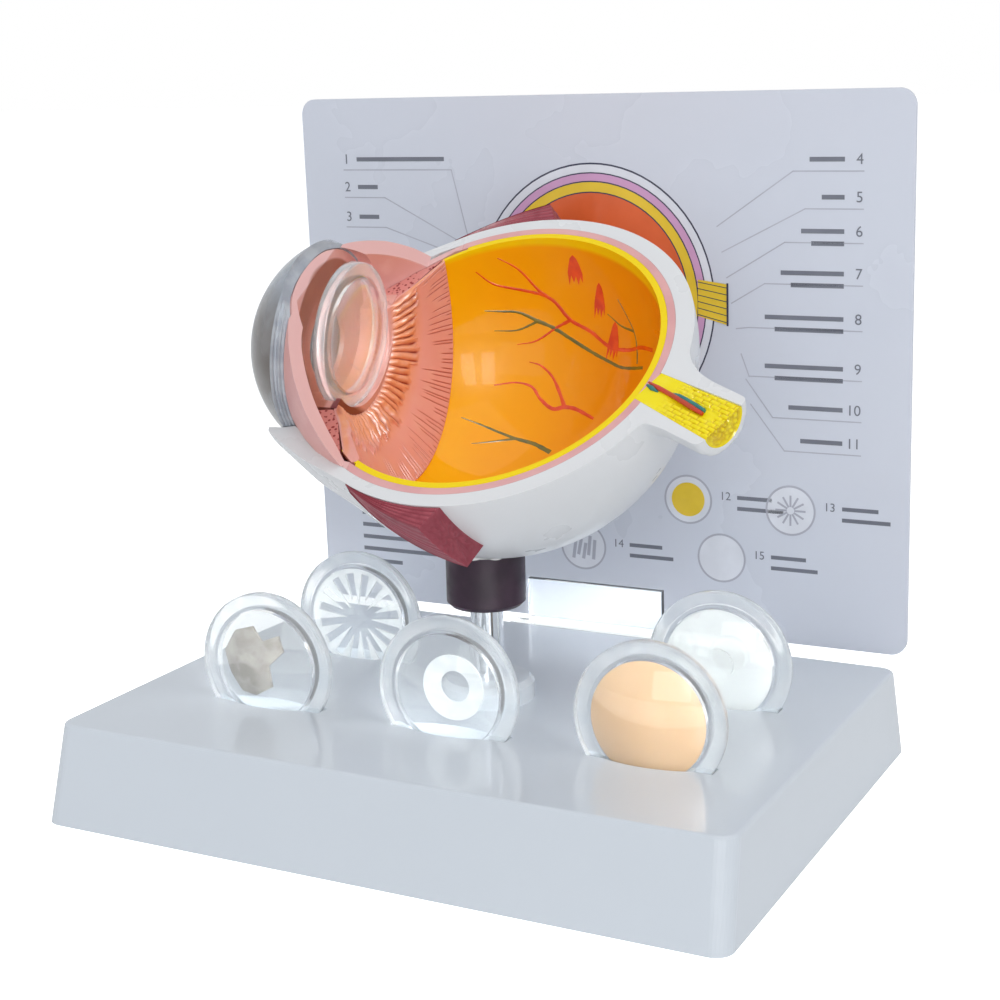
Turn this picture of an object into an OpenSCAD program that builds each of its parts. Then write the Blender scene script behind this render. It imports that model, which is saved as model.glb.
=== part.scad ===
// Eye anatomy model for a classroom bench: an eyeball opened along one plane, carried on a
// turning rod above a moulded tray, with five spare lenses and a card held behind it.
// Millimetres. Origin: middle of the footprint, on the bench. The cornea looks along -X.

/* [Base tray] */
// Width of the tray along its underside
base_w = 165.1; // [160:0.1:185]
// Depth of the tray along its underside
base_d = 125; // [118:0.5:140]
// Height of the tray
base_h = 22; // [20:0.5:28]
// Wall of the moulded tray
base_wall = 2.2; // [1.6:0.1:3]
// How far the end faces lean in towards the top
draft_x = 0.85; // [0.3:0.05:3]
// How far the front and back faces lean in towards the top
draft_y = 5.8; // [2:0.1:8]
// Radius of the upright corners at the underside
base_corner = 4; // [3:0.5:8]
// Soft edge round the top
top_round = 0.9; // [0.4:0.1:1.5]
// Depth of the stiffening ribs under the top
rib_depth = 4; // [3:0.5:7]

/* [Rod and socket] */
// Diameter of the polished rod
rod_d = 7.6; // [6.6:0.1:9]
// Diameter of the rod's turned-down lower end
spigot_d = 6; // [5:0.1:6.2]
// Radial clearance of the turning and sliding fits
rod_fit = 0.05; // [0.02:0.01:0.1]
// Diameter of the collar at the foot of the rod
foot_d = 21.6; // [18:0.2:26]
// Height of the collar at the foot of the rod
foot_h = 5; // [4:0.2:8]
// Diameter of the dark socket under the eye
socket_d = 18.4; // [15:0.2:22]
// Height of the socket's lower face above the bench
socket_z = 44.5; // [42:0.5:47]
// How far the rod reaches into the socket
rod_reach = 10.6; // [8:0.2:10.8]
// Diameter of the washer under the tray
washer_d = 16; // [13:0.5:20]
// Thickness of the washer
washer_t = 1.2; // [0.8:0.1:2]
// Diameter of the screw head under the tray
screw_head_d = 8; // [7:0.1:10]
// Height of the screw head
screw_head_h = 3; // [2:0.1:4]
// Thread diameter of that screw
screw_d = 3.5; // [3:0.1:4]

/* [Eyeball] */
// Sideways place of the eyeball's centre from the rod
eye_x = 1; // [-2:0.5:3]
// Place of the eyeball's centre behind the rod
eye_y = 3; // [0:0.5:4]
// Height of the eyeball's centre
eye_z = 102.5; // [102.5:0.5:108]
// Turn of the eye on the rod
eye_yaw = 5.4; // [0:0.2:8]
// Rise of the cornea above the level of the nerve
eye_pitch = 5.3; // [0:0.1:8]
// Lean of the open face towards the viewer
eye_roll = 36.2; // [25:0.2:45]
// Angle between the eye's axis and the plane that opens it
section_tilt = 7.7; // [4:0.1:9]
// Inner radius of the retina
retina_r = 39.6; // [39:0.1:40]
// Thickness of the retina
retina_t = 1.5; // [1:0.1:2]
// Thickness of the choroid
choroid_t = 1.8; // [1.2:0.1:2.2]
// Thickness of the sclera at the eye's side
sclera_t = 3.3; // [2.6:0.1:4.5]
// How much thicker the sclera is at the back
sclera_back = 1; // [0.4:0.1:2]
// Play between layers that are cast against each other
layer_gap = 0.05; // [0.03:0.01:0.1]
// Place of the ora serrata, where the retina ends, ahead of the centre
ora_x = 19.4; // [18.5:0.1:20.2]

/* [Front of the eye] */
// Place of the cornea's foot ahead of the centre
limbus_x = 44.3; // [44:0.1:44.8]
// Radius of the dome of the cornea
cornea_r = 24.5; // [24:0.1:26]
// Radius of the dome where it meets its skirt
cornea_foot_r = 22; // [21.6:0.1:22.2]
// Wall of the clear cap
cornea_t = 1.4; // [1:0.1:1.6]
// Outer radius of the cap's ridged skirt
skirt_r = 25.8; // [25.4:0.1:26.2]
// Clearance of the skirt under the lip that covers it
skirt_fit = 0.3; // [0.2:0.05:0.4]
// Outer thickness of the hood's wall
hood_t = 2.6; // [2:0.1:2.8]
// Radius of the pupil
pupil_r = 7.5; // [5:0.1:9]
// Lean of the plane that ends the hood on the near side
hood_lean = 54.4; // [50:0.2:58]
// Distance of that plane from the centre
hood_cut = 22.2; // [21.2:0.1:22.8]
// Lean of the plane that ends the hood on the far side
far_lean = 37; // [34:0.2:40]
// Turn of that plane towards the far side
far_turn = 35.4; // [32:0.2:38]
// Distance of that plane from the centre
far_cut = 4.4; // [3.8:0.1:5.4]
// Number of pleats round the ciliary body
pleats = 34; // [20:1:44]
// Depth of the pleats
pleat_depth = 1.1; // [0.4:0.1:1.5]

/* [Optic nerve and muscles] */
// Swing of the nerve away from the eye's axis
nerve_yaw = 26.4; // [22:0.2:30]
// Sideways place of the nerve's root
nerve_y = 7.8; // [6:0.1:9]
// Length of the nerve from its root
nerve_len = 23.3; // [18:0.1:26]
// Radius of the nerve at the eye
nerve_root_r = 4.3; // [3.6:0.1:4.8]
// Radius of the nerve at its cut end
nerve_end_r = 5.65; // [5:0.05:6]
// Outer radius of the sheath round the nerve
sheath_r = 8; // [7.2:0.1:9]
// Radius of the artery
artery_r = 0.8; // [0.5:0.05:1]
// Radius of the vein
vein_r = 0.6; // [0.4:0.05:0.8]
// Thickness of the muscles at their cut ends
muscle_t = 6.2; // [4:0.1:7.5]
// Width of the muscles at their cut ends
muscle_w = 17; // [12:0.5:20]

/* [Lenses] */
// Outer radius of every lens
lens_r = 17.1; // [16.6:0.1:17.3]
// Thickness of a lens's rim
lens_rim_t = 3; // [2.4:0.1:3.4]
// Radius of a lens's dome
lens_dome_r = 14; // [13:0.1:14.4]
// Rise of each dome above the rim
lens_sag = 3.4; // [2.6:0.1:3.6]
// Wall of the two clear halves of a lens
lens_wall = 1.1; // [0.8:0.1:1.4]
// Clearance of a lens in its seat or pocket
lens_fit = 0.35; // [0.25:0.05:0.5]
// Place of the eye's own lens ahead of the centre
eye_lens_x = 34.9; // [34.8:0.1:35.2]
// Distance between neighbouring spare lenses
lens_pitch = 48.1; // [44:0.1:50]
// Place of the middle column of spare lenses beside the rod
lens_shift = 3.2; // [0:0.1:5]
// Place of the front row of spare lenses ahead of the rod
row_front = 25; // [20:0.5:30]
// Place of the back row of spare lenses behind the rod
row_back = 16.3; // [12:0.1:20]
// Height of a spare lens's centre above the tray
lens_rise = 9.4; // [8.5:0.1:12]

/* [Card and clip] */
// Width of the card
card_w = 164.1; // [140:0.1:180]
// Height of the card
card_h = 136; // [100:1:150]
// Thickness of the card
card_t = 1; // [0.6:0.1:1.6]
// Radius of the card's corners
card_corner = 4; // [2:0.5:10]
// Height of the card's lower edge above the tray
card_rise = 1.1; // [0.8:0.1:3]
// Distance of the card's foot behind the tray's top edge
card_back = 5.6; // [5:0.1:7]
// Lean of the card towards the viewer
card_lean = 1.4; // [0:0.1:2]
// Turn of the card about its middle
card_turn = 1.1; // [0:0.1:1.5]
// Clearance of the card in its clip on each face
card_fit = 0.3; // [0.2:0.05:0.5]
// Width of the clip's jaws
jaw_w = 38; // [30:0.5:46]
// Height of the clip's jaws above its floor
jaw_h = 10.6; // [8:0.1:14]
// Wall of the clip
clip_t = 1.8; // [1.4:0.1:2.4]
// Width of the clip's floor and back plate
clip_w = 48; // [47:0.5:60]

/* [Hidden] */
$fn = 96;
eps = 0.01;
reach = 200;

// Layers of the eyeball, from the inside out.
retina_out = retina_r + retina_t;
choroid_in = retina_out + layer_gap;
choroid_out = choroid_in + choroid_t;
sclera_in = choroid_out + layer_gap;
sclera_out = sclera_in + sclera_t;

// Cornea cap: its dome's centre on the eye's axis, from the radius at its foot.
dome_x = -limbus_x + sqrt(pow(cornea_r, 2) - pow(cornea_foot_r, 2));
dome_inner_r = cornea_r - cornea_t;
dome_foot_in = sqrt(pow(dome_inner_r, 2) - pow(limbus_x + dome_x, 2));

// Hood: its cone from the choroid's front edge to its shoulder.
hood_back = [-20.95, sqrt(pow(choroid_out, 2) - pow(20.95, 2))];
hood_shoulder = [-38.8, 25.1];
hood_corner = [-41.1, 21.4];
hood_face = [-41.9, 20.2];
hood_face_t = 1.5;
hood_inner_x = hood_face.x + hood_face_t;

// Lip of the sclera, with the notch that the skirt of the cornea sits in, and the cone it ends.
coat_back = [-20.75, 40.9];
lip_tip = [-46.8, skirt_r + skirt_fit];
lip_notch = [-42.1, skirt_r + 2 * skirt_fit];
lip_outer = [-46.1, lip_tip.y + 1];

// Lens seat.
seat_in_r = lens_r + lens_fit;
seat_out_r = seat_in_r + 2.1;
seat_half = lens_rim_t / 2 + lens_fit;

// Ciliary muscle, between the hood and the ciliary body.
wedge_front = [hood_shoulder.x + 0.6, 21.8];
wedge_back = [-25, 31.9];

// Nerve root in the plane that opens the eye.
nerve_x = sqrt(pow(retina_out, 2) - pow(nerve_y, 2)) - 0.4;
nerve_start = retina_out - nerve_x;
flare_start = 2;
flare_len = 7.5;
flare_r = 4;

// Muscles, from the tendon to the cut end.
tendon_x = -21;
tendon_w = 3;
muscle_end_x = 11;

// Rod.
rod_top = socket_z + rod_reach;
spigot_step = base_h + foot_h - 3;
stem_boss_h = 6;
stem_boss_z = base_h - base_wall - stem_boss_h;
seat_play = 0.1;

// Card frame and the middle of the whole footprint.
top_d = base_d - 2 * draft_y;
card_y = top_d / 2 + card_back;
card_z = base_h + card_rise;
clip_floor_z = card_z - clip_t;
plate_h = 12;
jaw_y = card_t / 2 + card_fit;
clip_back_y = card_y + jaw_y + clip_t + clip_w / 2 * sin(card_turn);
card_edge_y = card_y + card_t / 2 + card_w / 2 * sin(card_turn);
middle_y = (max(clip_back_y, card_edge_y) - base_d / 2) / 2;

// Spare lenses: place of each on the tray, counted from the front left.
spots = [
    [lens_shift - lens_pitch, -row_front],
    [lens_shift - lens_pitch, row_back],
    [lens_shift, -row_front],
    [lens_shift + lens_pitch, -row_front],
    [lens_shift + lens_pitch, row_back]
];
spot_z = base_h + lens_rise;

// ---------- frames ----------

// Everything is drawn about the rod and then moved to the middle of the footprint.
module stand() translate([0, -middle_y, 0]) children();

// Eye frame: X runs from cornea to back, Z out of the open side.
module eye_frame() stand() translate([eye_x, eye_y, eye_z])
    rotate([eye_roll, eye_pitch, eye_yaw]) children();

// Frame of the plane that opens the eye: Z is square to it.
module section_frame() rotate([0, -section_tilt, 0]) children();

// Nerve frame: X runs out along the nerve, in that plane.
module nerve_frame() section_frame() translate([nerve_x, -nerve_y, 0]) rotate([0, 0, -nerve_yaw]) children();

module card_frame() stand() translate([0, card_y, card_z]) rotate([card_lean, 0, card_turn]) children();

// ---------- shared shapes ----------

// Revolves an outline of [x, r] points about the eye's axis.
module spin_x(outline) rotate([0, 90, 0]) rotate_extrude() polygon([for (p = outline) [p.y, p.x]]);

module above_section() section_frame()
    translate([-reach / 2, -reach / 2, 0]) cube([reach, reach, reach / 2]);

module ahead_of(x) translate([x - reach, -reach / 2, -reach / 2]) cube([reach, reach, reach]);

module behind(x) translate([x, -reach / 2, -reach / 2]) cube([reach, reach, reach]);

// A ball whose poles and seam lie away from the faces where the eye is cut open.
module ball(r) section_frame() rotate([20, 0, 180]) sphere(r = r, $fn = 160);

// Everything past the two leaning planes where the hood ends.
module behind_hood_cut() {
    rotate([0, hood_lean, 0])
        translate([-reach / 2, -reach / 2, -hood_cut]) cube([reach, reach, reach]);
    rotate([0, far_lean, far_turn])
        translate([-reach / 2, -reach / 2, -far_cut]) cube([reach, reach, reach]);
}

// The nerve's flared body, grown by a clearance, from the retina to past its cut end.
module nerve_body(grow, extra) rotate([0, 90, 0])
    translate([0, 0, nerve_start])
        cylinder(h = nerve_len - nerve_start + extra, r1 = nerve_root_r + grow, r2 = nerve_end_r + grow);

// Block with leaning sides and round corners, as the tray's outside and inside both are.
module tray_block(w, d, corner, low, high, soft) hull() {
    for (sx = [-1, 1], sy = [-1, 1]) {
        translate([sx * (w / 2 - corner), sy * (d / 2 - corner), low])
            cylinder(h = eps, r = corner, $fn = 32);
        for (a = [0 : 22.5 : 90])
            translate([sx * (w / 2 - draft_x - corner), sy * (d / 2 - draft_y - corner), high - soft])
                translate([0, 0, (soft - eps) * sin(a)])
                    cylinder(h = eps, r = corner - soft * (1 - cos(a)), $fn = 32);
    }
}

// Outline [r, y] of a whole lens, grown by a clearance: rim and two domes.
function dome_curve(r, sag) = (pow(r, 2) + pow(sag, 2)) / (2 * sag);

// A solid lens lying about the Y axis, grown all round.
module lens_solid(grow) {
    rotate([-90, 0, 0]) translate([0, 0, -lens_rim_t / 2 - grow])
        cylinder(h = lens_rim_t + 2 * grow, r = lens_r + grow);
    for (side = [-1, 1]) intersection() {
        translate([0, side * (lens_rim_t / 2 + lens_sag - dome_curve(lens_dome_r, lens_sag)), 0])
            sphere(r = dome_curve(lens_dome_r, lens_sag) + grow);
        rotate([-90, 0, 0]) translate([0, 0, side > 0 ? 0 : -reach / 2]) cylinder(h = reach / 2, r = lens_r);
    }
}

// The hollow between the two halves of a lens.
module lens_hollow() for (side = [-1, 1]) intersection() {
    translate([0, side * (lens_rim_t / 2 + lens_sag - dome_curve(lens_dome_r, lens_sag)), 0])
        sphere(r = dome_curve(lens_dome_r, lens_sag) - lens_wall);
    rotate([-90, 0, 0]) translate([0, 0, side > 0 ? -eps : -reach / 2])
        cylinder(h = reach / 2 + eps, r = lens_dome_r - lens_wall);
}

// Skin on the inside of one dome, over the outline that is given.
module dome_lining(side) intersection() {
    translate([0, side * (lens_rim_t / 2 + lens_sag - dome_curve(lens_dome_r, lens_sag)), 0]) difference() {
        sphere(r = dome_curve(lens_dome_r, lens_sag) - lens_wall - layer_gap);
        sphere(r = dome_curve(lens_dome_r, lens_sag) - lens_wall - 0.6);
    }
    rotate([90, 0, 0]) translate([0, 0, side > 0 ? -reach : 0]) linear_extrude(height = reach) children();
}

// One clear half of a lens: side -1 is the front half, 1 the back half.
module lens_half(side) color([0.88, 0.93, 0.95, 0.45]) difference() {
    lens_solid(0);
    lens_hollow();
    translate([-reach / 2, side > 0 ? -reach : 0, -reach / 2]) cube([reach, reach, reach]);
}

module at_spot(i) stand() translate([spots[i].x, spots[i].y, spot_z]) children();

module at_eye_lens() eye_frame() translate([-eye_lens_x, 0, 0]) rotate([0, 0, -90]) children();

// ---------- base ----------

module lens_pockets(grow) for (i = [0 : len(spots) - 1])
    translate([spots[i].x, spots[i].y, spot_z]) lens_solid(grow);

// Moulded tray: leaning outside, open underneath, with a well for each spare lens.
module base_tray() color([0.93, 0.94, 0.97]) stand() difference() {
    union() {
        difference() {
            tray_block(base_w, base_d, base_corner, 0, base_h, top_round);
            tray_block(base_w - 2 * base_wall, base_d - 2 * base_wall, base_corner - 1, -eps,
                base_h - base_wall, top_round / 2);
        }
        intersection() {
            lens_pockets(lens_fit + base_wall * 0.7);
            translate([-base_w / 2, -base_d / 2, 0]) cube([base_w, base_d, base_h - eps]);
        }
        translate([0, 0, stem_boss_z]) cylinder(h = base_h - base_wall - stem_boss_z + eps, d = washer_d);
        tray_ribs();
    }
    lens_pockets(lens_fit);
    translate([0, 0, -eps]) cylinder(h = base_h + 1, d = spigot_d + 2 * rod_fit);
}

// Shallow cross ribs that stiffen the top from below.
module tray_ribs() translate([0, 0, base_h - base_wall - rib_depth]) {
    for (x = [lens_shift - lens_pitch / 2, lens_shift + lens_pitch / 2])
        translate([x - 0.8, -top_d / 2 + base_wall, 0])
            cube([1.6, top_d - 2 * base_wall, rib_depth + eps]);
    translate([-base_w / 2 + draft_x + base_wall, (row_back - row_front) / 2 - 0.8, 0])
        cube([base_w - 2 * draft_x - 2 * base_wall, 1.6, rib_depth + eps]);
}

// ---------- rod ----------

module stem_collar() color([0.86, 0.87, 0.9]) stand() translate([0, 0, base_h]) difference() {
    rotate_extrude() polygon([
        [0, 0], [foot_d / 2, 0], [foot_d / 2, foot_h - 1.2], [foot_d / 2 - 1.2, foot_h], [0, foot_h]
    ]);
    translate([0, 0, -eps]) cylinder(h = foot_h + 1, d = spigot_d + 2 * rod_fit);
    translate([0, 0, spigot_step - base_h - seat_play]) cylinder(h = foot_h, d = rod_d + 2 * rod_fit);
}

module stem_rod() color([0.8, 0.81, 0.83]) stand() difference() {
    union() {
        translate([0, 0, spigot_step]) cylinder(h = rod_top - 0.6 - spigot_step, d = rod_d);
        translate([0, 0, rod_top - 0.6]) cylinder(h = 0.6, d1 = rod_d, d2 = rod_d - 1.2);
        translate([0, 0, stem_boss_z - seat_play])
            cylinder(h = spigot_step - stem_boss_z + seat_play + eps, d = spigot_d);
    }
    translate([0, 0, stem_boss_z - seat_play - eps]) cylinder(h = 9, d = screw_d);
}

// Place of the washer's underside, below the tray's boss.
module under_boss() stand() translate([0, 0, stem_boss_z - seat_play - washer_t]) children();

module stem_washer() color([0.7, 0.71, 0.73]) under_boss() difference() {
    cylinder(h = washer_t, d = washer_d);
    translate([0, 0, -eps]) cylinder(h = washer_t + 1, d = screw_d + 0.4);
}

module stem_screw() color([0.62, 0.63, 0.66]) under_boss() difference() {
    union() {
        translate([0, 0, -screw_head_h])
            cylinder(h = screw_head_h, d1 = screw_head_d - 1.6, d2 = screw_head_d);
        translate([0, 0, -eps]) cylinder(h = washer_t + 7, d = screw_d - 2 * layer_gap);
    }
    for (a = [0, 90]) rotate([0, 0, a])
        translate([-2, -0.45, -screw_head_h - eps]) cube([4, 0.9, 1.6]);
}

// Dark socket cast against the underside of the eye, with the rod's blind hole.
module eye_socket() color([0.2, 0.13, 0.2]) difference() {
    stand() union() {
        translate([0, 0, socket_z + 1]) cylinder(h = eye_z - socket_z - 1 - sclera_out / 2, d = socket_d);
        translate([0, 0, socket_z]) cylinder(h = 1, d1 = socket_d - 2, d2 = socket_d);
    }
    eye_frame() translate([sclera_back, 0, 0]) sphere(r = sclera_out + layer_gap, $fn = 160);
    stand() translate([0, 0, socket_z - eps]) cylinder(h = rod_reach + seat_play, d = rod_d + 2 * rod_fit);
}

// ---------- eyeball ----------

// White coat: round shell and the lip that holds the cornea.
module sclera_shell() color([0.94, 0.94, 0.92]) eye_frame() difference() {
    union() {
        intersection() {
            translate([sclera_back, 0, 0]) ball(sclera_out);
            behind(coat_back.x + layer_gap);
        }
        spin_x([
            [coat_back.x, 0], coat_back, lip_outer, lip_tip, lip_notch,
            hood_shoulder + [0, layer_gap], [hood_shoulder.x, 0]
        ]);
    }
    intersection() {
        ball(sclera_in);
        behind(hood_back.x);
    }
    spin_x([
        [hood_back.x + eps, 0], [hood_back.x + eps, hood_back.y + layer_gap],
        hood_shoulder + [0, layer_gap], [lip_tip.x - 1, hood_shoulder.y], [lip_tip.x - 1, 0]
    ]);
    nerve_frame() nerve_body(layer_gap, 1);
    above_section();
}

// White sheath that flares from the coat and runs out along the nerve.
module nerve_sheath() color([0.94, 0.94, 0.92]) eye_frame() difference() {
    nerve_frame() rotate([0, 90, 0]) {
        cylinder(h = nerve_len, r = sheath_r);
        translate([0, 0, flare_start]) cylinder(h = flare_len, r1 = sheath_r + flare_r, r2 = sheath_r);
    }
    translate([sclera_back, 0, 0]) ball(sclera_out + layer_gap);
    nerve_frame() nerve_body(layer_gap, 1);
    above_section();
}

module choroid_layer() color([0.88, 0.6, 0.6]) eye_frame() difference() {
    ball(choroid_out);
    ball(choroid_in);
    ahead_of(hood_back.x + layer_gap);
    nerve_frame() nerve_body(layer_gap, 1);
    above_section();
}

module retina_layer() color([0.95, 0.72, 0.05]) eye_frame() difference() {
    ball(retina_out);
    ball(retina_r);
    ahead_of(-ora_x);
    above_section();
}

// Pink front of the eye: a cone with a flat face, whole above the open plane up to its leaning end.
module anterior_hood() color([0.87, 0.58, 0.56]) eye_frame() difference() {
    spin_x([
        hood_back, hood_shoulder, hood_corner, hood_face,
        [hood_face.x, pupil_r], [hood_inner_x, pupil_r + 0.8],
        [hood_inner_x, hood_face.y - 0.4], [hood_shoulder.x + 0.5, hood_shoulder.y - hood_t - 0.5],
        [hood_back.x - 1.9, hood_back.y - hood_t], [hood_back.x, hood_back.y - hood_t + 0.6]
    ]);
    intersection() {
        above_section();
        behind_hood_cut();
    }
}

module iris_disc() color([0.45, 0.42, 0.36]) eye_frame() spin_x([
    [hood_face.x - layer_gap, pupil_r], [hood_face.x - layer_gap, hood_face.y - 0.3],
    [hood_face.x - 0.65, hood_face.y - 0.5], [hood_face.x - 0.65, pupil_r + 0.2]
]);

// Clear cap: dome and ridged skirt.
module cornea_cap() color([0.8, 0.86, 0.88, 0.4]) eye_frame() {
    difference() {
        translate([dome_x, 0, 0]) sphere(r = cornea_r, $fn = 160);
        translate([dome_x, 0, 0]) sphere(r = dome_inner_r, $fn = 160);
        behind(-limbus_x);
    }
    spin_x(concat(
        [[-limbus_x - eps, dome_foot_in], [-limbus_x - eps, cornea_foot_r]],
        skirt_ridges(4),
        [
            [-42.3, skirt_r], [-41, skirt_r - 0.2], [-39.9, 25.3], [-41.5, 21.8], [-42.2, 20.6],
            [-42.2, dome_foot_in]
        ]
    ));
}

// Small steps along the skirt, from the dome's foot to the rim.
function skirt_ridges(n) = [
    for (i = [0 : n - 1], step = [0, 1])
        let (s = (i + (step == 0 ? 0.25 : 0.8)) / n)
        [
            -limbus_x + s * (limbus_x - 42.4) - (step == 0 ? 0.35 : 0),
            cornea_foot_r + s * (skirt_r - 0.2 - cornea_foot_r)
        ]
];

// Channel that the rim of the eye's own lens drops into.
module lens_seat_ring() color([0.9, 0.6, 0.55]) eye_frame() difference() {
    spin_x([
        [hood_inner_x + layer_gap, seat_in_r - 2.3], [hood_inner_x + layer_gap, seat_out_r],
        [-eye_lens_x + seat_half + 1.2, seat_out_r], [-eye_lens_x + seat_half + 1.2, seat_in_r - 0.9],
        [-eye_lens_x + seat_half, seat_in_r - 0.9], [-eye_lens_x + seat_half, seat_in_r],
        [-eye_lens_x - seat_half, seat_in_r], [-eye_lens_x - seat_half, seat_in_r - 2.3]
    ]);
    above_section();
}

module ciliary_muscle() color([0.8, 0.4, 0.4]) eye_frame() difference() {
    spin_x([
        [wedge_front.x - 0.3, seat_out_r + layer_gap], wedge_front, wedge_back, [-30.9, 23.5],
        [-eye_lens_x + 0.7, seat_out_r + layer_gap]
    ]);
    above_section();
}

// Cross-section of the ciliary body: [x, r, share of the pleat's depth].
ciliary_path = [
    [-31.5, seat_out_r - 1.6, 0.2], [-29.6, 20.6, 1], [-27.3, 23.6, 1], [-25.4, 26.4, 0.7],
    [-23.3, 29.4, 0.5], [-21.4, 32.1, 0.4], [-19.55, 34.35, 0],
    [-21, 35.1, 0], [-24.9, 31.7, 0], [-30.6, 23.4, 0],
    [-31.5, seat_out_r + 0.6, 0]
];
ciliary_steps = 4 * pleats;

// Height of a pleat round the half ring, flat at both cut faces.
function pleat(j) = pow(sin(180 * pleats * j / ciliary_steps), 2);

// The angle at which a ring of the body meets the open plane.
function section_angle(p) = asin(-p.x * tan(section_tilt) / p.y);

function ciliary_point(p, j) =
    let (
        h = p.z * pleat_depth * pleat(j),
        x = p.x + 0.76 * h,
        r = p.y - 0.65 * h,
        low = section_angle(p),
        a = 180 + low + (180 - 2 * low) * j / ciliary_steps
    ) [x, r * cos(a), r * sin(a)];

// Pleated funnel between the lens and the ora serrata, a closed loop of rings.
module ciliary_body() color([0.92, 0.56, 0.44]) eye_frame() {
    m = len(ciliary_path);
    w = ciliary_steps + 1;
    polyhedron(
        points = [for (p = ciliary_path, j = [0 : ciliary_steps]) ciliary_point(p, j)],
        faces = concat(
            [for (i = [0 : m - 1], j = [0 : ciliary_steps - 1])
                [i * w + j, ((i + 1) % m) * w + j, ((i + 1) % m) * w + j + 1]],
            [for (i = [0 : m - 1], j = [0 : ciliary_steps - 1])
                [i * w + j, ((i + 1) % m) * w + j + 1, i * w + j + 1]],
            [[for (i = [m - 1 : -1 : 0]) i * w]],
            [[for (i = [0 : m - 1]) i * w + ciliary_steps]]
        )
    );
}

module eye_lens_front() at_eye_lens() lens_half(-1);

module eye_lens_back() at_eye_lens() lens_half(1);

// ---------- nerve and muscles ----------

// Half of the nerve's trunk, with grooves in its open face for the two vessels.
module optic_nerve() color([0.95, 0.86, 0.1]) eye_frame() difference() {
    nerve_frame() nerve_body(0, 0);
    ball(retina_out + layer_gap);
    nerve_frame() artery_path(layer_gap);
    nerve_frame() vein_path(layer_gap);
    above_section();
}

module rod_along(from, to, off, r) translate([from, off, 0])
    rotate([0, 90, 0]) cylinder(h = to - from, r = r);

module artery_path(grow) rod_along(nerve_start + 0.8, nerve_len - 3, 0.6, artery_r + grow);

module vein_path(grow) {
    rod_along(nerve_start + 7.5, nerve_len - 3.2, 0.6 + artery_r + vein_r + 0.15, vein_r + grow);
    rod_along(nerve_start + 0.8, nerve_start + 5, 0.6 - artery_r - vein_r - 0.15, vein_r + grow);
}

module retinal_artery() color([0.85, 0.15, 0.1]) eye_frame() nerve_frame() artery_path(0);

module retinal_vein() color([0.1, 0.5, 0.5]) eye_frame() nerve_frame() vein_path(0);

// Muscle strap: thin at its tendon, thick at its cut end, lying on the sclera and flush with the open face.
module muscle(side) section_frame() difference() {
    intersection() {
        translate([0, 0, -muscle_w - 1]) linear_extrude(height = muscle_w + 1) polygon([
            [tendon_x, side * (sclera_out - 4.8)], [tendon_x + 4, side * (sclera_out - 3)],
            [muscle_end_x - 4.6, side * (sclera_out + muscle_t)], [muscle_end_x, side * (sclera_out + 0.4)],
            [muscle_end_x - 2, side * (sclera_out - 8.3)], [tendon_x + 11, side * (sclera_out - 8.3)]
        ]);
        rotate([90, 0, 0]) linear_extrude(height = reach, center = true) polygon([
            [tendon_x - 1, 0], [tendon_x - 1, -tendon_w], [muscle_end_x - 5, -muscle_w],
            [muscle_end_x + 3, -muscle_w - 1], [muscle_end_x + 3, 0]
        ]);
        translate([sclera_back, 0, 0]) sphere(r = sclera_out + muscle_t + 0.4, $fn = 160);
    }
    rotate([0, section_tilt, 0]) translate([sclera_back, 0, 0])
        sphere(r = sclera_out + layer_gap, $fn = 160);
    rotate([0, section_tilt, 0])
        spin_x([[coat_back.x, 0], coat_back + [0, layer_gap], lip_outer + [0, layer_gap], [lip_outer.x, 0]]);
}

module lateral_rectus() color([0.56, 0.16, 0.25]) eye_frame() muscle(-1);

module medial_rectus() color([0.56, 0.16, 0.25]) eye_frame() rotate([0, 0, 7]) muscle(1);

// ---------- spare lenses ----------

module capsular_lens_front() at_spot(0) lens_half(-1);

module capsular_lens_back() at_spot(0) lens_half(1);

// Ragged flake painted inside the front dome.
module capsular_flake() color([0.5, 0.48, 0.45]) at_spot(0) dome_lining(-1) polygon([
    [-8, -2], [-10, 3], [-7, 8], [-2, 9.5], [1, 6.5], [5, 8], [6.5, 4.5], [3, 1], [3.5, -4],
    [-1, -6.5], [-5, -6]
]);

module cortical_lens_front() at_spot(1) lens_half(-1);

module cortical_lens_back() at_spot(1) lens_half(1);

// Film clamped at its rim, with wedges that run in from the rim towards the middle.
module cortical_spokes() color([0.85, 0.87, 0.88]) at_spot(1) rotate([90, 0, 0]) {
    film_r = lens_dome_r - lens_wall;
    linear_extrude(height = 0.6, center = true) {
        difference() {
            circle(r = film_r - layer_gap);
            circle(r = film_r - 1.3);
        }
        for (i = [0 : 15]) rotate(i * 22.5)
            polygon([[film_r - 1, -1.2], [film_r - 1, 1.2], [3.5 + 1.5 * (i % 2), 0]]);
    }
}

module subcapsular_lens_front() at_spot(2) lens_half(-1);

module subcapsular_lens_back() at_spot(2) lens_half(1);

// Ring painted inside the back dome.
module subcapsular_ring() color([0.88, 0.9, 0.91]) at_spot(2) dome_lining(1) difference() {
    circle(r = 7.5);
    circle(r = 3.6);
}

module nuclear_lens_front() at_spot(3) lens_half(-1);

module nuclear_lens_back() at_spot(3) lens_half(1);

// Tan nucleus that fills the hollow of its lens.
module nuclear_core() color([0.75, 0.62, 0.48]) at_spot(3) for (side = [-1, 1]) intersection() {
    translate([0, side * (lens_rim_t / 2 + lens_sag - dome_curve(lens_dome_r, lens_sag)), 0])
        sphere(r = dome_curve(lens_dome_r, lens_sag) - lens_wall - 0.1);
    rotate([-90, 0, 0]) translate([0, 0, side > 0 ? -eps : -reach / 2])
        cylinder(h = reach / 2 + eps, r = lens_dome_r - lens_wall - 0.1);
}

module mature_lens_front() at_spot(4) lens_half(-1);

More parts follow.
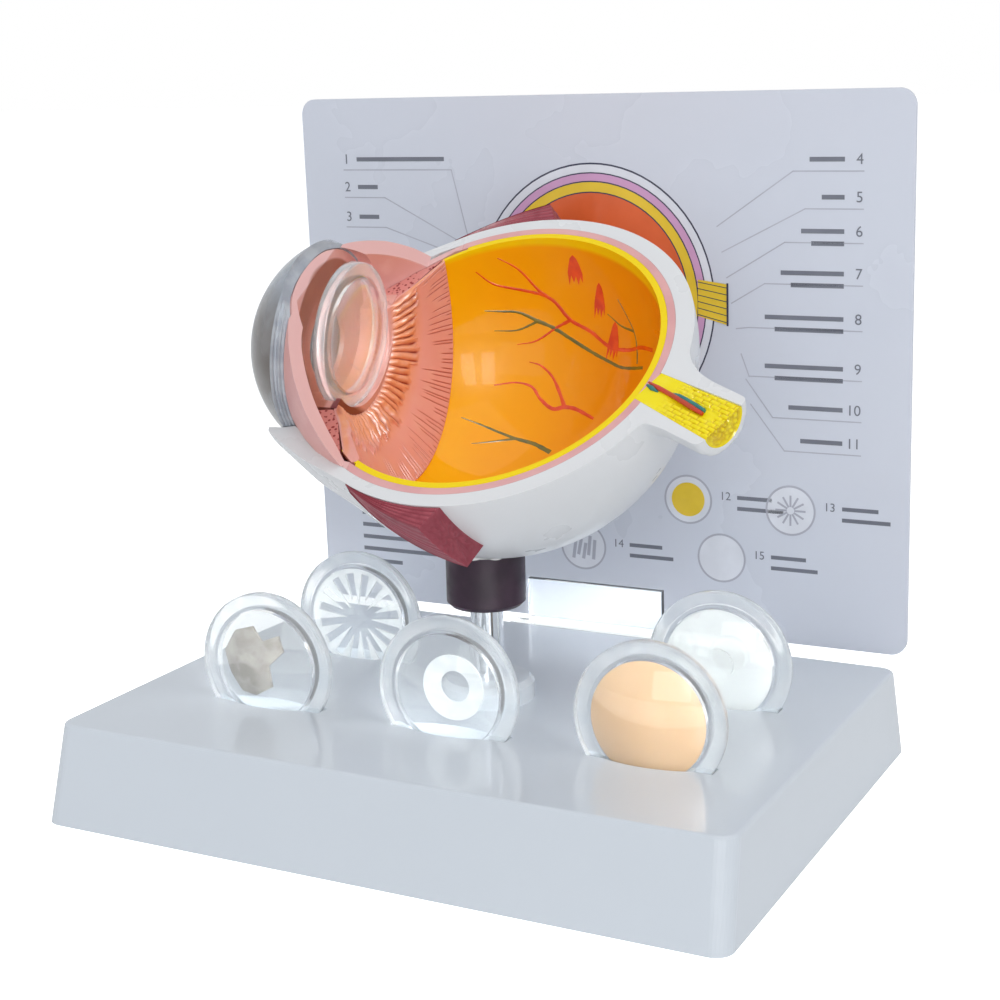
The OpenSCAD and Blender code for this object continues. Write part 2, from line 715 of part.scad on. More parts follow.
module mature_lens_back() at_spot(4) lens_half(1);

// Milky disc with a thicker spot at its middle.
module mature_haze() color([0.86, 0.87, 0.86]) at_spot(4) rotate([90, 0, 0]) {
    cylinder(h = 0.6, r = lens_dome_r - lens_wall - 0.2, center = true);
    cylinder(h = 1.6, r = 3.6, center = true);
}

// ---------- clip and card ----------

// Clear bent clip: a plate on the tray's back wall, a floor behind its top edge, and two jaws.
module card_clip() color([0.85, 0.9, 0.92, 0.4]) {
    stand() translate([-clip_w / 2, 0, 0]) rotate([90, 0, 90]) linear_extrude(height = clip_w) polygon([
        [wall_y(clip_floor_z - plate_h), clip_floor_z - plate_h],
        [wall_y(clip_floor_z - 0.6), clip_floor_z - 0.6],
        [wall_y(base_h), clip_floor_z], [card_y + 0.6, clip_floor_z], [card_y + 0.6, clip_floor_z - clip_t],
        [wall_y(clip_floor_z - clip_t) + clip_t + 0.5, clip_floor_z - clip_t],
        [wall_y(clip_floor_z - plate_h) + clip_t, clip_floor_z - plate_h]
    ]);
    card_frame() {
        for (side = [-1, 1]) translate([-jaw_w / 2, side > 0 ? jaw_y : -jaw_y - clip_t, -clip_t * 1.8])
            cube([jaw_w, clip_t, jaw_h + clip_t * 1.8]);
        translate([-jaw_w / 2, -jaw_y - eps, -clip_t * 1.8])
            cube([jaw_w, 2 * jaw_y + 2 * eps, clip_t * 1.8 - seat_play]);
    }
}

// Place of the tray's back wall at a height.
function wall_y(z) = base_d / 2 - draft_y * z / base_h + layer_gap;

module info_card() color([0.8, 0.81, 0.87]) card_frame() rotate([90, 0, 0])
    linear_extrude(height = card_t, center = true) hull()
        for (sx = [-1, 1], z = [card_corner, card_h - card_corner])
            translate([sx * (card_w / 2 - card_corner), z]) circle(r = card_corner, $fn = 48);

base_tray();
stem_collar();
stem_rod();
stem_washer();
stem_screw();
eye_socket();
sclera_shell();
nerve_sheath();
choroid_layer();
retina_layer();
anterior_hood();
iris_disc();
cornea_cap();
lens_seat_ring();
ciliary_muscle();
ciliary_body();
eye_lens_front();
eye_lens_back();
optic_nerve();
retinal_artery();
retinal_vein();
lateral_rectus();
medial_rectus();
capsular_lens_front();
capsular_lens_back();
capsular_flake();
cortical_lens_front();
cortical_lens_back();
cortical_spokes();
subcapsular_lens_front();
subcapsular_lens_back();
subcapsular_ring();
nuclear_lens_front();
nuclear_lens_back();
nuclear_core();
mature_lens_front();
mature_lens_back();
mature_haze();
card_clip();
info_card();
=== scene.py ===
import math
import random

import bmesh
import bpy
from mathutils import Euler, Matrix, Vector, noise


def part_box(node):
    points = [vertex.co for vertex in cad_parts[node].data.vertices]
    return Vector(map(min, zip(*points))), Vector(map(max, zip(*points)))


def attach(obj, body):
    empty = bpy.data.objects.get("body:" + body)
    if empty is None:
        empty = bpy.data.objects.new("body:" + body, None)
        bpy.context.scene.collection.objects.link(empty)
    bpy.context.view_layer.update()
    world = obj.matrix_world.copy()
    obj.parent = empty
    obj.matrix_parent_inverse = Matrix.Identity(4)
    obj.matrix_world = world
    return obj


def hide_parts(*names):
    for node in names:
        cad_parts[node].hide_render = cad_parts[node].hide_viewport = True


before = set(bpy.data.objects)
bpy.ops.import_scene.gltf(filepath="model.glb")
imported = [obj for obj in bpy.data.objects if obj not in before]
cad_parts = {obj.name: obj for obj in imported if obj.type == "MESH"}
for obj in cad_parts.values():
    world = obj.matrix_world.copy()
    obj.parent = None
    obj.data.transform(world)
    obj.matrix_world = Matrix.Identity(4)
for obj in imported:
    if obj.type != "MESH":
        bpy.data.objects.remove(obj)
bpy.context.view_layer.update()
MM = 0.001

# ---------------------------------------------------------------------------------------------
# Camera: the model is seen from the right of its front and a little above, through a long lens,
# tipped very slightly to one side as a camera held by hand is.
camera_place = Vector((0.19498, -0.36773, 0.16278))
camera_swing = math.radians(27.51)
camera_drop = math.radians(12.56)
camera_tip = math.radians(-1.405)
back = Vector((
    math.sin(camera_swing) * math.cos(camera_drop),
    -math.cos(camera_swing) * math.cos(camera_drop),
    math.sin(camera_drop),
))
level = Vector((math.cos(camera_swing), math.sin(camera_swing), 0))
upright = back.cross(level)
camera_right = math.cos(camera_tip) * level + math.sin(camera_tip) * upright
camera_up = -math.sin(camera_tip) * level + math.cos(camera_tip) * upright
camera_data = bpy.data.cameras.new("camera")
camera_data.lens = 66.8
camera_data.shift_y = -0.006
camera_data.clip_start = 0.01
camera_data.clip_end = 40
camera = bpy.data.objects.new("camera", camera_data)
bpy.context.scene.collection.objects.link(camera)
camera.matrix_world = Matrix.Translation(camera_place) @ Matrix(
    (camera_right, camera_up, back)
).transposed().to_4x4()
bpy.context.scene.camera = camera

# ---------------------------------------------------------------------------------------------
# Light: a pale room, a broad lamp overhead, a weak one from the front, and a tall window of two
# panes on the right, which shows as paired bright marks on everything glossy.
room_light = 0.68
top_power, front_power, window_power, glint_power = 3.1, 1.0, 0.7, 11.0


def seen_by_camera(tree):
    """1 for rays that come from the camera, straight or through glass."""
    ray = tree.nodes.new("ShaderNodeLightPath")
    either = tree.nodes.new("ShaderNodeMath")
    either.operation = "MAXIMUM"
    tree.links.new(ray.outputs["Is Camera Ray"], either.inputs[0])
    tree.links.new(ray.outputs["Is Transmission Ray"], either.inputs[1])
    return either.outputs[0]


scene = bpy.context.scene
scene.view_settings.view_transform = "Standard"
scene.world = bpy.data.worlds.new("room")
scene.world.use_nodes = True
sky = scene.world.node_tree
room = sky.nodes["Background"]
room.inputs["Color"].default_value = (0.93, 0.96, 1.0, 1)
room.inputs["Strength"].default_value = room_light
white_view = sky.nodes.new("ShaderNodeBackground")
white_view.inputs["Color"].default_value = (1, 1, 1, 1)
choose = sky.nodes.new("ShaderNodeMixShader")
sky.links.new(seen_by_camera(sky), choose.inputs["Fac"])
sky.links.new(room.outputs[0], choose.inputs[1])
sky.links.new(white_view.outputs[0], choose.inputs[2])
sky.links.new(choose.outputs[0], sky.nodes["World Output"].inputs["Surface"])


def lamp(name, place, aim, width, height, power, colour=(1, 1, 1)):
    """A rectangular lamp that faces a point."""
    data = bpy.data.lights.new(name, "AREA")
    data.shape = "RECTANGLE"
    data.size, data.size_y = width, height
    data.energy = power
    data.color = colour
    lamp_object = bpy.data.objects.new(name, data)
    scene.collection.objects.link(lamp_object)
    lamp_object.location = place
    lamp_object.rotation_euler = (Vector(aim) - Vector(place)).to_track_quat("-Z", "Y").to_euler()
    return lamp_object


lamp("overhead", (0.3, -0.15, 1.05), (0, 0, 0.05), 1.0, 1.0, top_power, (1, 0.98, 0.96))
lamp("front_fill", (0.1, -1.2, 0.35), (0, 0, 0.08), 0.7, 0.5, front_power)
pane_wide, pane_high, pane_aim = 0.17, 0.42, (0.02, 0, 0.06)
for pane, across in enumerate((-0.13, 0.13)):
    pane_place = (0.60 + across * 0.8, -0.80 + across * 0.6, 0.44)
    lamp(f"window_pane_{pane}", pane_place, pane_aim, pane_wide, pane_high, window_power)
    glint = lamp(f"window_glint_{pane}", pane_place, pane_aim, pane_wide, pane_high, glint_power)
    glint.visible_diffuse = False

# ---------------------------------------------------------------------------------------------
# Bench: a wide pale sheet that runs out past the view and keeps a soft shadow under the model.
bench_mesh = bpy.data.meshes.new("bench")
bench_reach = 12
bench_mesh.from_pydata(
    [(x * bench_reach, y * bench_reach, 0) for x, y in ((-1, -1), (1, -1), (1, 1), (-1, 1))],
    [], [(0, 1, 2, 3)])
bench = bpy.data.objects.new("bench", bench_mesh)
scene.collection.objects.link(bench)
bench_paper = bpy.data.materials.new("bench_paper")
bench_paper.use_nodes = True
paper = bench_paper.node_tree
paper_face = paper.nodes["Principled BSDF"]
paper_face.inputs["Base Color"].default_value = (0.86, 0.86, 0.86, 1)
paper_face.inputs["Roughness"].default_value = 0.7
paper_face.inputs["Specular IOR Level"].default_value = 0.2
paper_lift = paper.nodes.new("ShaderNodeEmission")
lift_share = paper.nodes.new("ShaderNodeMath")
lift_share.operation = "MULTIPLY"
lift_share.inputs[1].default_value = 0.6
paper_sum = paper.nodes.new("ShaderNodeAddShader")
paper.links.new(seen_by_camera(paper), lift_share.inputs[0])
paper.links.new(lift_share.outputs[0], paper_lift.inputs["Strength"])
paper.links.new(paper_face.outputs[0], paper_sum.inputs[0])
paper.links.new(paper_lift.outputs[0], paper_sum.inputs[1])
paper.links.new(paper_sum.outputs[0], paper.nodes["Material Output"].inputs["Surface"])
bench_mesh.materials.append(bench_paper)

# ---------------------------------------------------------------------------------------------
# Tray: one white moulding, open underneath, with five wells pressed into its top. Its skin is
# glossy with a very faint ripple from the mould.
mottle_group = bpy.data.node_groups.new("mottle", "ShaderNodeTree")
for label, value in (("Scale", 40.0), ("Low", 0.4), ("High", 0.6)):
    socket = mottle_group.interface.new_socket(label, in_out="INPUT", socket_type="NodeSocketFloat")
    socket.default_value = value
mottle_group.interface.new_socket("Mask", in_out="OUTPUT", socket_type="NodeSocketFloat")
group_in = mottle_group.nodes.new("NodeGroupInput")
group_out = mottle_group.nodes.new("NodeGroupOutput")
place = mottle_group.nodes.new("ShaderNodeTexCoord")
cloud = mottle_group.nodes.new("ShaderNodeTexNoise")
cloud.inputs["Detail"].default_value = 4
spread = mottle_group.nodes.new("ShaderNodeMapRange")
for source, aim in (
    (place.outputs["Object"], cloud.inputs["Vector"]),
    (group_in.outputs["Scale"], cloud.inputs["Scale"]),
    (cloud.outputs["Fac"], spread.inputs["Value"]),
    (group_in.outputs["Low"], spread.inputs["From Min"]),
    (group_in.outputs["High"], spread.inputs["From Max"]),
    (spread.outputs["Result"], group_out.inputs["Mask"]),
):
    mottle_group.links.new(source, aim)


class Finish:
    """A material as it is put together: its nodes, and the shader that they feed."""

    def __init__(self, name, colour, roughness=0.4, **sockets):
        self.material = bpy.data.materials.new(name)
        self.material.use_nodes = True
        self.tree = self.material.node_tree
        self.shader = self.tree.nodes["Principled BSDF"]
        self.shader.inputs["Base Color"].default_value = (*colour, 1)
        self.shader.inputs["Roughness"].default_value = roughness
        for socket_name, number in sockets.items():
            self.shader.inputs[socket_name.replace("_", " ")].default_value = number
        self.colour = tuple(colour)
        self.tint = None

    def node(self, kind, **inputs):
        """A node with some of its inputs set or joined."""
        made = self.tree.nodes.new("ShaderNode" + kind)
        for label, content in inputs.items():
            self.put(made.inputs[label.replace("_", " ")], content)
        return made

    def sum(self, operation, *terms, kind="Math", out=0):
        """The result of a sum on numbers or vectors."""
        made = self.node(kind)
        made.operation = operation
        for socket_in, term in zip(made.inputs, terms):
            self.put(socket_in, term)
        return made.outputs[out]

    def ranged(self, value, low, high, first=0.0, last=1.0):
        """Spreads a value that runs between two limits from first to last."""
        return self.node("MapRange", Value=value, From_Min=low, From_Max=high, To_Min=first,
                         To_Max=last).outputs["Result"]

    def place(self):
        """Where a point of the surface is, in the object's own frame."""
        return self.node("TexCoord").outputs["Object"]

    def carried(self, name):
        """A map that the mesh carries point by point."""
        attribute = self.node("Attribute")
        attribute.attribute_name = name
        return attribute.outputs["Fac"]

    def put(self, socket_in, content):
        """Joins an output to a socket, or sets the socket's value."""
        if isinstance(content, bpy.types.NodeSocket):
            self.tree.links.new(content, socket_in)
        else:
            socket_in.default_value = content

    def mask(self, scale, low=0.4, high=0.6):
        """Soft patches from 0 to 1."""
        group = self.tree.nodes.new("ShaderNodeGroup")
        group.node_tree = mottle_group
        for label, number in (("Scale", scale), ("Low", low), ("High", high)):
            group.inputs[label].default_value = number
        return group.outputs["Mask"]

    def over(self, factor, colour):
        """Lays another colour over what is there, by a mask."""
        mix = self.tree.nodes.new("ShaderNodeMix")
        mix.data_type = "RGBA"
        mix.clamp_factor = True
        self.put(mix.inputs["Factor"], factor)
        self.put(mix.inputs[6], self.tint if self.tint else (*self.colour, 1))
        self.put(mix.inputs[7], colour if isinstance(colour, bpy.types.NodeSocket) else (*colour, 1))
        self.tint = mix.outputs[2]
        self.put(self.shader.inputs["Base Color"], self.tint)
        return self

    def patches(self, scale, colour, low=0.4, high=0.65):
        """Lays soft patches of another colour over what is there."""
        return self.over(self.mask(scale, low, high), colour)

    def relief(self, height, distance, strength=1.0):
        """Raises the surface by a height map, in metres."""
        bump = self.node("Bump", Height=height, Distance=distance, Strength=strength)
        earlier = self.shader.inputs["Normal"].links
        if earlier:
            self.tree.links.new(earlier[0].from_socket, bump.inputs["Normal"])
        self.tree.links.new(bump.outputs["Normal"], self.shader.inputs["Normal"])
        return self

    def grain(self, scale, distance, strength=1.0):
        """A fine even roughness of the skin."""
        fine = self.node("TexNoise", Vector=self.place(), Scale=scale, Detail=3.0)
        return self.relief(fine.outputs["Fac"], distance, strength)

    def shine(self, scale, smooth, rough):
        """Lets the gloss wander between two values."""
        self.put(self.shader.inputs["Roughness"],
                 self.ranged(self.mask(scale, 0.35, 0.65), 0.0, 1.0, smooth, rough))
        return self


def dress(node, finish, crease=32):
    """Gives a solid that is already the right shape its finish and soft shading."""
    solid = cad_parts[node]
    solid.data.materials.clear()
    solid.data.materials.append(finish.material)
    smooth(solid, crease)
    return solid


def smooth(piece, crease=32):
    """Rounds the shading, except where faces meet at more than an angle."""
    mesh = piece.data
    mesh.polygons.foreach_set("use_smooth", [True] * len(mesh.polygons))
    mesh.set_sharp_from_angle(angle=math.radians(crease))


tray_skin = Finish("white_moulding", (0.63, 0.675, 0.725), 0.16, Coat_Weight=0.3, Coat_Roughness=0.06)
tray_skin.patches(9, (0.61, 0.655, 0.705), 0.35, 0.7).shine(30, 0.12, 0.2)
tray_skin.grain(55, 0.00005, 0.35).grain(1500, 0.000004, 0.5)
dress("base_tray", tray_skin)
tray_low, tray_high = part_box("base_tray")
rod_y = (tray_low.y + tray_high.y) / 2

# ---------------------------------------------------------------------------------------------
# Rod and its fixings: a polished steel rod in a pale turned collar, pulled down by a plated
# screw and washer under the tray.
rod_polish = Finish("polished_rod", (0.76, 0.78, 0.81), 0.07, Metallic=1.0)
rod_polish.shine(220, 0.05, 0.12).grain(900, 0.000003)
dress("stem_rod", rod_polish)
collar_skin = Finish("collar_moulding", (0.66, 0.70, 0.74), 0.25, Coat_Weight=0.3)
collar_skin.patches(90, (0.61, 0.65, 0.69)).grain(800, 0.000006)
dress("stem_collar", collar_skin)
plated = Finish("zinc_plate", (0.60, 0.62, 0.66), 0.35, Metallic=1.0)
plated.patches(400, (0.48, 0.50, 0.55)).shine(300, 0.25, 0.5).grain(2500, 0.00001)
dress("stem_washer", plated)
dress("stem_screw", plated)

# ---------------------------------------------------------------------------------------------
# Eyeball frame: X runs from the cornea to the back, Z out of the open side. The open plane
# passes through the middle, and the nerve leaves to one side of the axis.
eye_centre = Vector((1, 3, 102.5)) * MM + Vector((0, rod_y, 0))
eye_turn = Euler((math.radians(36.2), math.radians(5.3), math.radians(5.4)), "XYZ")
eye = Matrix.Translation(eye_centre) @ eye_turn.to_matrix().to_4x4()
section_tilt = math.radians(7.7)
section = eye @ Matrix.Rotation(-section_tilt, 4, "Y")
retina_radius = 39.6
retina_outer = 41.1
sclera_inner = 43.0
sclera_outer = 46.3
sclera_shift = 1.0
nerve_side = 7.8
nerve_swing = math.radians(26.4)
nerve_root = math.sqrt(retina_outer ** 2 - nerve_side ** 2) - 0.4
nerve_length = 23.3
nerve = section @ Matrix.Translation(Vector((nerve_root, -nerve_side, 0)) * MM) \
    @ Matrix.Rotation(-nerve_swing, 4, "Z")


def raw_piece(name, points, faces, *finishes):
    """A mesh object as its points and faces give it."""
    mesh = bpy.data.meshes.new(name)
    mesh.from_pydata([tuple(p) for p in points], [], faces)
    for finish in finishes:
        mesh.materials.append(finish.material)
    piece = bpy.data.objects.new(name, mesh)
    scene.collection.objects.link(piece)
    return piece


def make_piece(name, points, faces, finish, body, replaces=(), slot=None, crease=40):
    """A closed mesh piece in the object's frame, facing outwards and riding on a body."""
    piece = raw_piece(name, points, faces, finish)
    facing = bmesh.new()
    facing.from_mesh(piece.data)
    bmesh.ops.recalc_face_normals(facing, faces=facing.faces)
    if facing.calc_volume(signed=True) < 0:
        bmesh.ops.reverse_faces(facing, faces=facing.faces)
    facing.to_mesh(piece.data)
    facing.free()
    smooth(piece, crease)
    if body:
        settle_in(piece, body, replaces)
    return piece


def settle_in(piece, body, replaces=()):
    """Says which body a piece rides on and which solids it stands for."""
    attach(piece, body)
    if replaces:
        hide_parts(*replaces)


def spin(outline, turn, steps=160, start=0.0):
    """Points and faces of a closed solid, revolved from (along, radius) pairs in millimetres."""
    points, faces = [], []
    rings = []
    closed = outline[0] == outline[-1]
    for along, radius in outline[:-1] if closed else outline:
        if radius < 1e-6:
            rings.append([len(points)])
            points.append(turn @ Vector((along * MM, 0, 0)))
            continue
        rings.append(list(range(len(points), len(points) + steps)))
        for k in range(steps):
            angle = start + 2 * math.pi * k / steps
            points.append(turn @ Vector((
                along * MM, radius * MM * math.cos(angle), radius * MM * math.sin(angle))))
    if closed:
        rings.append(rings[0])
    for a, b in zip(rings, rings[1:]):
        for k in range(steps):
            near, far = k, (k + 1) % steps
            if len(a) == 1:
                faces.append((a[0], b[near], b[far]))
            elif len(b) == 1:
                faces.append((a[near], b[0], a[far]))
            else:
                faces.append((a[near], b[near], b[far], a[far]))
    return points, faces


def sleeve(gaps, width):
    """Faces of a closed tube whose points lie in rows, with both of its ends."""
    faces = [
        (k * width + m, k * width + n, (k + 1) * width + n, (k + 1) * width + m)
        for k in range(gaps) for m in range(width) for n in ((m + 1) % width,)
    ]
    return faces + [tuple(range(width)), tuple(gaps * width + m for m in range(width))]


def joined(*shapes):
    """Points and faces of several shapes as one."""
    points, faces = [], []
    for more_points, more_faces in shapes:
        faces += [tuple(len(points) + k for k in f) for f in more_faces]
        points += more_points
    return points, faces


def arc(centre, radius, first, last, steps):
    """(along, radius) pairs along a circle about a point on the axis, between two angles."""
    return [
        (centre + radius * math.cos(a), max(radius * math.sin(a), 0))
        for a in (first + (last - first) * k / steps for k in range(steps + 1))
    ]


# ---------------------------------------------------------------------------------------------
# Sclera: the white cast shell with the lip round the cornea and the sheath round the nerve,
# one casting with soft fillets, painted in an off-white that shows the brush a little.
def volume_of(mesh):
    """The volume that a closed mesh holds."""
    measured = bmesh.new()
    measured.from_mesh(mesh)
    volume = abs(measured.calc_volume())
    measured.free()
    return volume


def carve(piece, finish, shape, plane=None, above=True):
    """Cuts a shape, itself cut off at a plane, out of a piece. Tries another solver if it fails."""
    whole = piece.data
    cutter = make_piece("cutter", *shape, finish, None)
    if plane:
        slice_off(cutter, plane, above)
    for solver in ("MANIFOLD", "EXACT"):
        cut = piece.modifiers.new("cut", "BOOLEAN")
        cut.operation = "DIFFERENCE"
        cut.object = cutter
        cut.solver = solver
        set_modifiers(piece)
        if 0 < volume_of(piece.data) < 0.9999 * volume_of(whole):
            break
        piece.data = whole
    bpy.data.objects.remove(cutter)


def slice_off(piece, turn, above=True):
    """Takes away what lies above (or below) a frame's flat plane, and closes the cut."""
    mesh = bmesh.new()
    mesh.from_mesh(piece.data)
    normal = turn.to_3x3() @ Vector((0, 0, 1 if above else -1))
    bisected = bmesh.ops.bisect_plane(
        mesh, geom=mesh.verts[:] + mesh.edges[:] + mesh.faces[:], dist=1e-8,
        plane_co=turn.translation, plane_no=normal, clear_outer=True)
    rim = [e for e in bisected["geom_cut"] if isinstance(e, bmesh.types.BMEdge) and e.is_boundary]
    bmesh.ops.triangle_fill(mesh, use_beauty=True, use_dissolve=False, edges=rim, normal=normal)
    bmesh.ops.recalc_face_normals(mesh, faces=mesh.faces)
    mesh.to_mesh(piece.data)
    mesh.free()


def set_modifiers(piece):
    """Turns what a piece's modifiers show into its own mesh."""
    graph = bpy.context.evaluated_depsgraph_get()
    shown = bpy.data.meshes.new_from_object(piece.evaluated_get(graph))
    piece.modifiers.clear()
    piece.data = shown


def block(turn, low, high):
    """Points and faces of a box in a frame, in millimetres."""
    points = [
        turn @ (Vector((x, y, z)) * MM)
        for x in (low[0], high[0]) for y in (low[1], high[1]) for z in (low[2], high[2])
    ]
    faces = [(0, 1, 3, 2), (4, 6, 7, 5), (0, 4, 5, 1), (2, 3, 7, 6), (0, 2, 6, 4), (1, 5, 7, 3)]
    return points, faces


def leaned(points):
    """Moves the front of the eye off its axis, fully from the shoulder on, as its castings are."""
    moved = []
    for point in points:
        spot = eye_inverse @ Vector(point) / MM
        share = min(max((front_root - spot.x) / (front_root - shoulder_x), 0), 1)
        moved.append(eye @ ((spot + front_shift * share) * MM))
    return moved


def front_cast(outline, steps=160):
    """Points and faces of a casting of the eye's front, revolved and then moved off its axis."""
    points, faces = spin(outline, eye, steps)
    return leaned(points), faces


eye_inverse = eye.inverted()
front_root, shoulder_x = -20.95, -39.85
front_shift = Vector((0, -1.91, -1.96))
sclera_paint = Finish("sclera_paint", (0.73, 0.735, 0.74), 0.3, Coat_Weight=0.25, Coat_Roughness=0.15)
sclera_paint.patches(28, (0.715, 0.72, 0.73), 0.2, 0.9)
sclera_paint.shine(60, 0.24, 0.42).grain(160, 0.00012, 0.35).grain(700, 0.00002, 0.4)

shell_back = arc(sclera_shift, sclera_outer, 0, math.acos(-21.75 / sclera_outer), 60)
lip = [(-33, 34.3), (-45.8, 26.1), (-46.7, 25.3), (-46.7, 0)]
sheath = [
    (0, 0), (0, 8), (2, 12.4), (5, 10.2), (8.5, 8.6), (13, 8.0), (nerve_length - 0.7, 8.0),
    (nerve_length, 7.5), (nerve_length, 0)]
shell = make_piece("sclera_casting", *joined(front_cast(shell_back + lip), spin(sheath, nerve, 64)),
                   sclera_paint, None)
blend = shell.modifiers.new("blend", "REMESH")
blend.mode = "VOXEL"
blend.voxel_size = 0.9 * MM
soften = shell.modifiers.new("soften", "SMOOTH")
soften.factor = 0.5
soften.iterations = 9
set_modifiers(shell)
hollow = arc(0, sclera_inner, 0, math.acos(front_root / sclera_inner), 60)
hollow += [(shoulder_x, 23.6), (-43.0, 24.35), (-44.6, 24.3), (-46.7, 24.5), (-60, 24.6), (-60, 0)]
carve(shell, sclera_paint, front_cast(hollow))
nerve_bore = [(0, 0), (0, 4.3), (nerve_length + 1, 5.76), (nerve_length + 1, 0)]
carve(shell, sclera_paint, spin(nerve_bore, nerve, 64, math.pi / 64))
slice_off(shell, section)
shell.data.materials.clear()
shell.data.materials.append(sclera_paint.material)
smooth(shell, 38)
settle_in(shell, "eye", ("sclera_shell", "nerve_sheath"))

# ---------------------------------------------------------------------------------------------
# Socket: the stub under the eye that takes the rod, brushed over in a near-black purple which
# ends in a ragged line against the white.
socket_paint = Finish("socket_paint", (0.022, 0.008, 0.02), 0.42, Coat_Weight=0.1,
                      Specular_IOR_Level=0.3)
socket_paint.patches(120, (0.04, 0.016, 0.034)).shine(150, 0.3, 0.55).grain(300, 0.00006, 0.5)
socket_split = socket_paint.node("SeparateXYZ", Vector=socket_paint.place())
ragged = socket_paint.node("TexNoise", Vector=socket_paint.place(), Scale=260.0)
ragged_depth = -0.0016
paint_line = socket_paint.sum(
    "MULTIPLY_ADD", ragged.outputs["Fac"], ragged_depth, socket_split.outputs["Z"])
socket_paint.over(socket_paint.ranged(paint_line, 0.0562, 0.0564), (0.84, 0.84, 0.83))
dress("eye_socket", socket_paint)

# ---------------------------------------------------------------------------------------------
# Choroid: the salmon-pink coat, seen only as a band on the open face.
choroid_paint = Finish("choroid_paint", (0.74, 0.38, 0.37), 0.35, Coat_Weight=0.2)
choroid_paint.patches(120, (0.68, 0.33, 0.33)).patches(40, (0.76, 0.43, 0.41), 0.5, 0.8)
choroid_paint.shine(200, 0.28, 0.45).grain(500, 0.00004, 0.5)
dress("choroid_layer", choroid_paint)

# ---------------------------------------------------------------------------------------------
# Retina: the yellow coat, varnished amber inside and left lemon yellow on its open edge.
retina_paint = Finish("retina_paint", (0.94, 0.48, 0.002), 0.3, Coat_Weight=0.4, Coat_Roughness=0.02,
                      Specular_IOR_Level=0.05)


def along(finish, direction, low, high, origin=eye_centre):
    """From 0 to 1 between two distances from a point, measured along a direction."""
    reach = finish.sum("DOT_PRODUCT", finish.place(), direction, kind="VectorMath", out="Value")
    start = Vector(direction).dot(origin)
    return finish.ranged(reach, start + low * MM, start + high * MM)


eye_axis = eye.to_3x3() @ Vector((1, 0, 0))
out_of_section = section.to_3x3() @ Vector((0, 0, 1))
retina_paint.over(along(retina_paint, eye_axis, -16, 30), (0.83, 0.26, 0.003))
retina_paint.patches(30, (0.90, 0.37, 0.003), 0.45, 0.9)
rim_rise = (out_of_section + 0.05 * eye_axis).normalized()
retina_paint.over(along(retina_paint, rim_rise, -2.9, -1.5), (0.90, 0.66, 0.004))
retina_paint.shine(40, 0.25, 0.35).grain(45, 0.00004, 0.25)
dress("retina_layer", retina_paint)

# ---------------------------------------------------------------------------------------------
# Vessels and flame marks: painted by hand on the amber, each stroke thick where it starts and
# fading to a hair. Places are (bearing, depth) in degrees, seen from the middle of the eye.
vermilion = Finish("vessel_vermilion", (0.80, 0.085, 0.004), 0.2, Coat_Weight=0.4)
vermilion.patches(300, (0.66, 0.045, 0.004)).grain(400, 0.00003)
olive = Finish("vessel_olive", (0.19, 0.17, 0.012), 0.25, Coat_Weight=0.4)
olive.patches(300, (0.10, 0.13, 0.03)).grain(400, 0.00003)
stroke_height = 0.09


def on_retina(bearing, depth, lift=0.0):
    """A place on the inside of the retina, in millimetres in the section frame."""
    b, d = math.radians(bearing), math.radians(depth)
    radius = retina_radius - lift
    return Vector((
        radius * math.cos(b) * math.cos(d),
        radius * math.sin(b) * math.cos(d),
        -radius * math.sin(d)))


def curve_through(stops, steps=10):
    """Points on a smooth curve through a list of places."""
    ends = [stops[0] * 2 - stops[1], *stops, stops[-1] * 2 - stops[-2]]
    found = []
    for k in range(1, len(ends) - 2):
        a, b, c, d = ends[k - 1:k + 3]
        for step in range(steps):
            t = step / steps
            found.append(0.5 * (2 * b + (c - a) * t + (2 * a - 5 * b + 4 * c - d) * t * t
                                + (3 * b - a - 3 * c + d) * t ** 3))
    return [*found, stops[-1]]


def brush_stroke(stops, wide, thin):
    """Points and faces of one raised stroke that lies on the retina."""
    line = [p.normalized() * retina_radius for p in curve_through([on_retina(*s) for s in stops])]
    points = []
    for k, spot in enumerate(line):
        ahead = (line[min(k + 1, len(line) - 1)] - line[max(k - 1, 0)]).normalized()
        side = ahead.cross(spot.normalized()).normalized()
        half = (wide + (thin - wide) * k / (len(line) - 1)) / 2
        half *= 1 + 0.22 * noise.noise(spot * 0.9)
        for share, rise in ((-1, -0.05), (-0.55, 0.7), (0, 1), (0.55, 0.7), (1, -0.05)):
            lifted = (spot + side * half * share).normalized() * (retina_radius - stroke_height * rise)
            points.append(section @ (lifted * MM))
    return points, sleeve(len(line) - 1, 5)


def stroke_piece(name, finish, strokes):
    """One painted vessel with its branches."""
    make_piece(name, *joined(*(brush_stroke(*stroke) for stroke in strokes)), finish, "eye",
               slot="retina_yellow")


stroke_piece("upper_artery", vermilion, [
    ([(36, 27), (45, 31), (54, 36), (65, 38), (76, 35), (86, 32), (92, 26), (96, 23)], 1.15, 1.0),
    ([(96, 23), (99, 20), (104, 12), (110, 6)], 1.0, 0.3),
    ([(96, 23), (102, 21), (110, 18), (115, 15), (119, 9)], 1.1, 0.3),
    ([(86, 32), (93, 35), (103, 39), (112, 39)], 1.0, 0.2)])
stroke_piece("upper_vein", olive, [
    ([(39, 36), (52, 42), (62, 43), (74, 42), (85, 39), (94, 35), (101, 32)], 0.8, 1.1),
    ([(101, 32), (108, 28), (115, 26), (121, 24)], 1.0, 0.25),
    ([(101, 32), (104, 33), (111, 34), (120, 32)], 0.9, 0.2)])
stroke_piece("side_vein", olive, [
    ([(44, 37), (48, 32), (52, 28), (58, 24), (63, 20)], 0.6, 0.2),
    ([(52, 28), (60, 29), (68, 27)], 0.8, 0.2)])
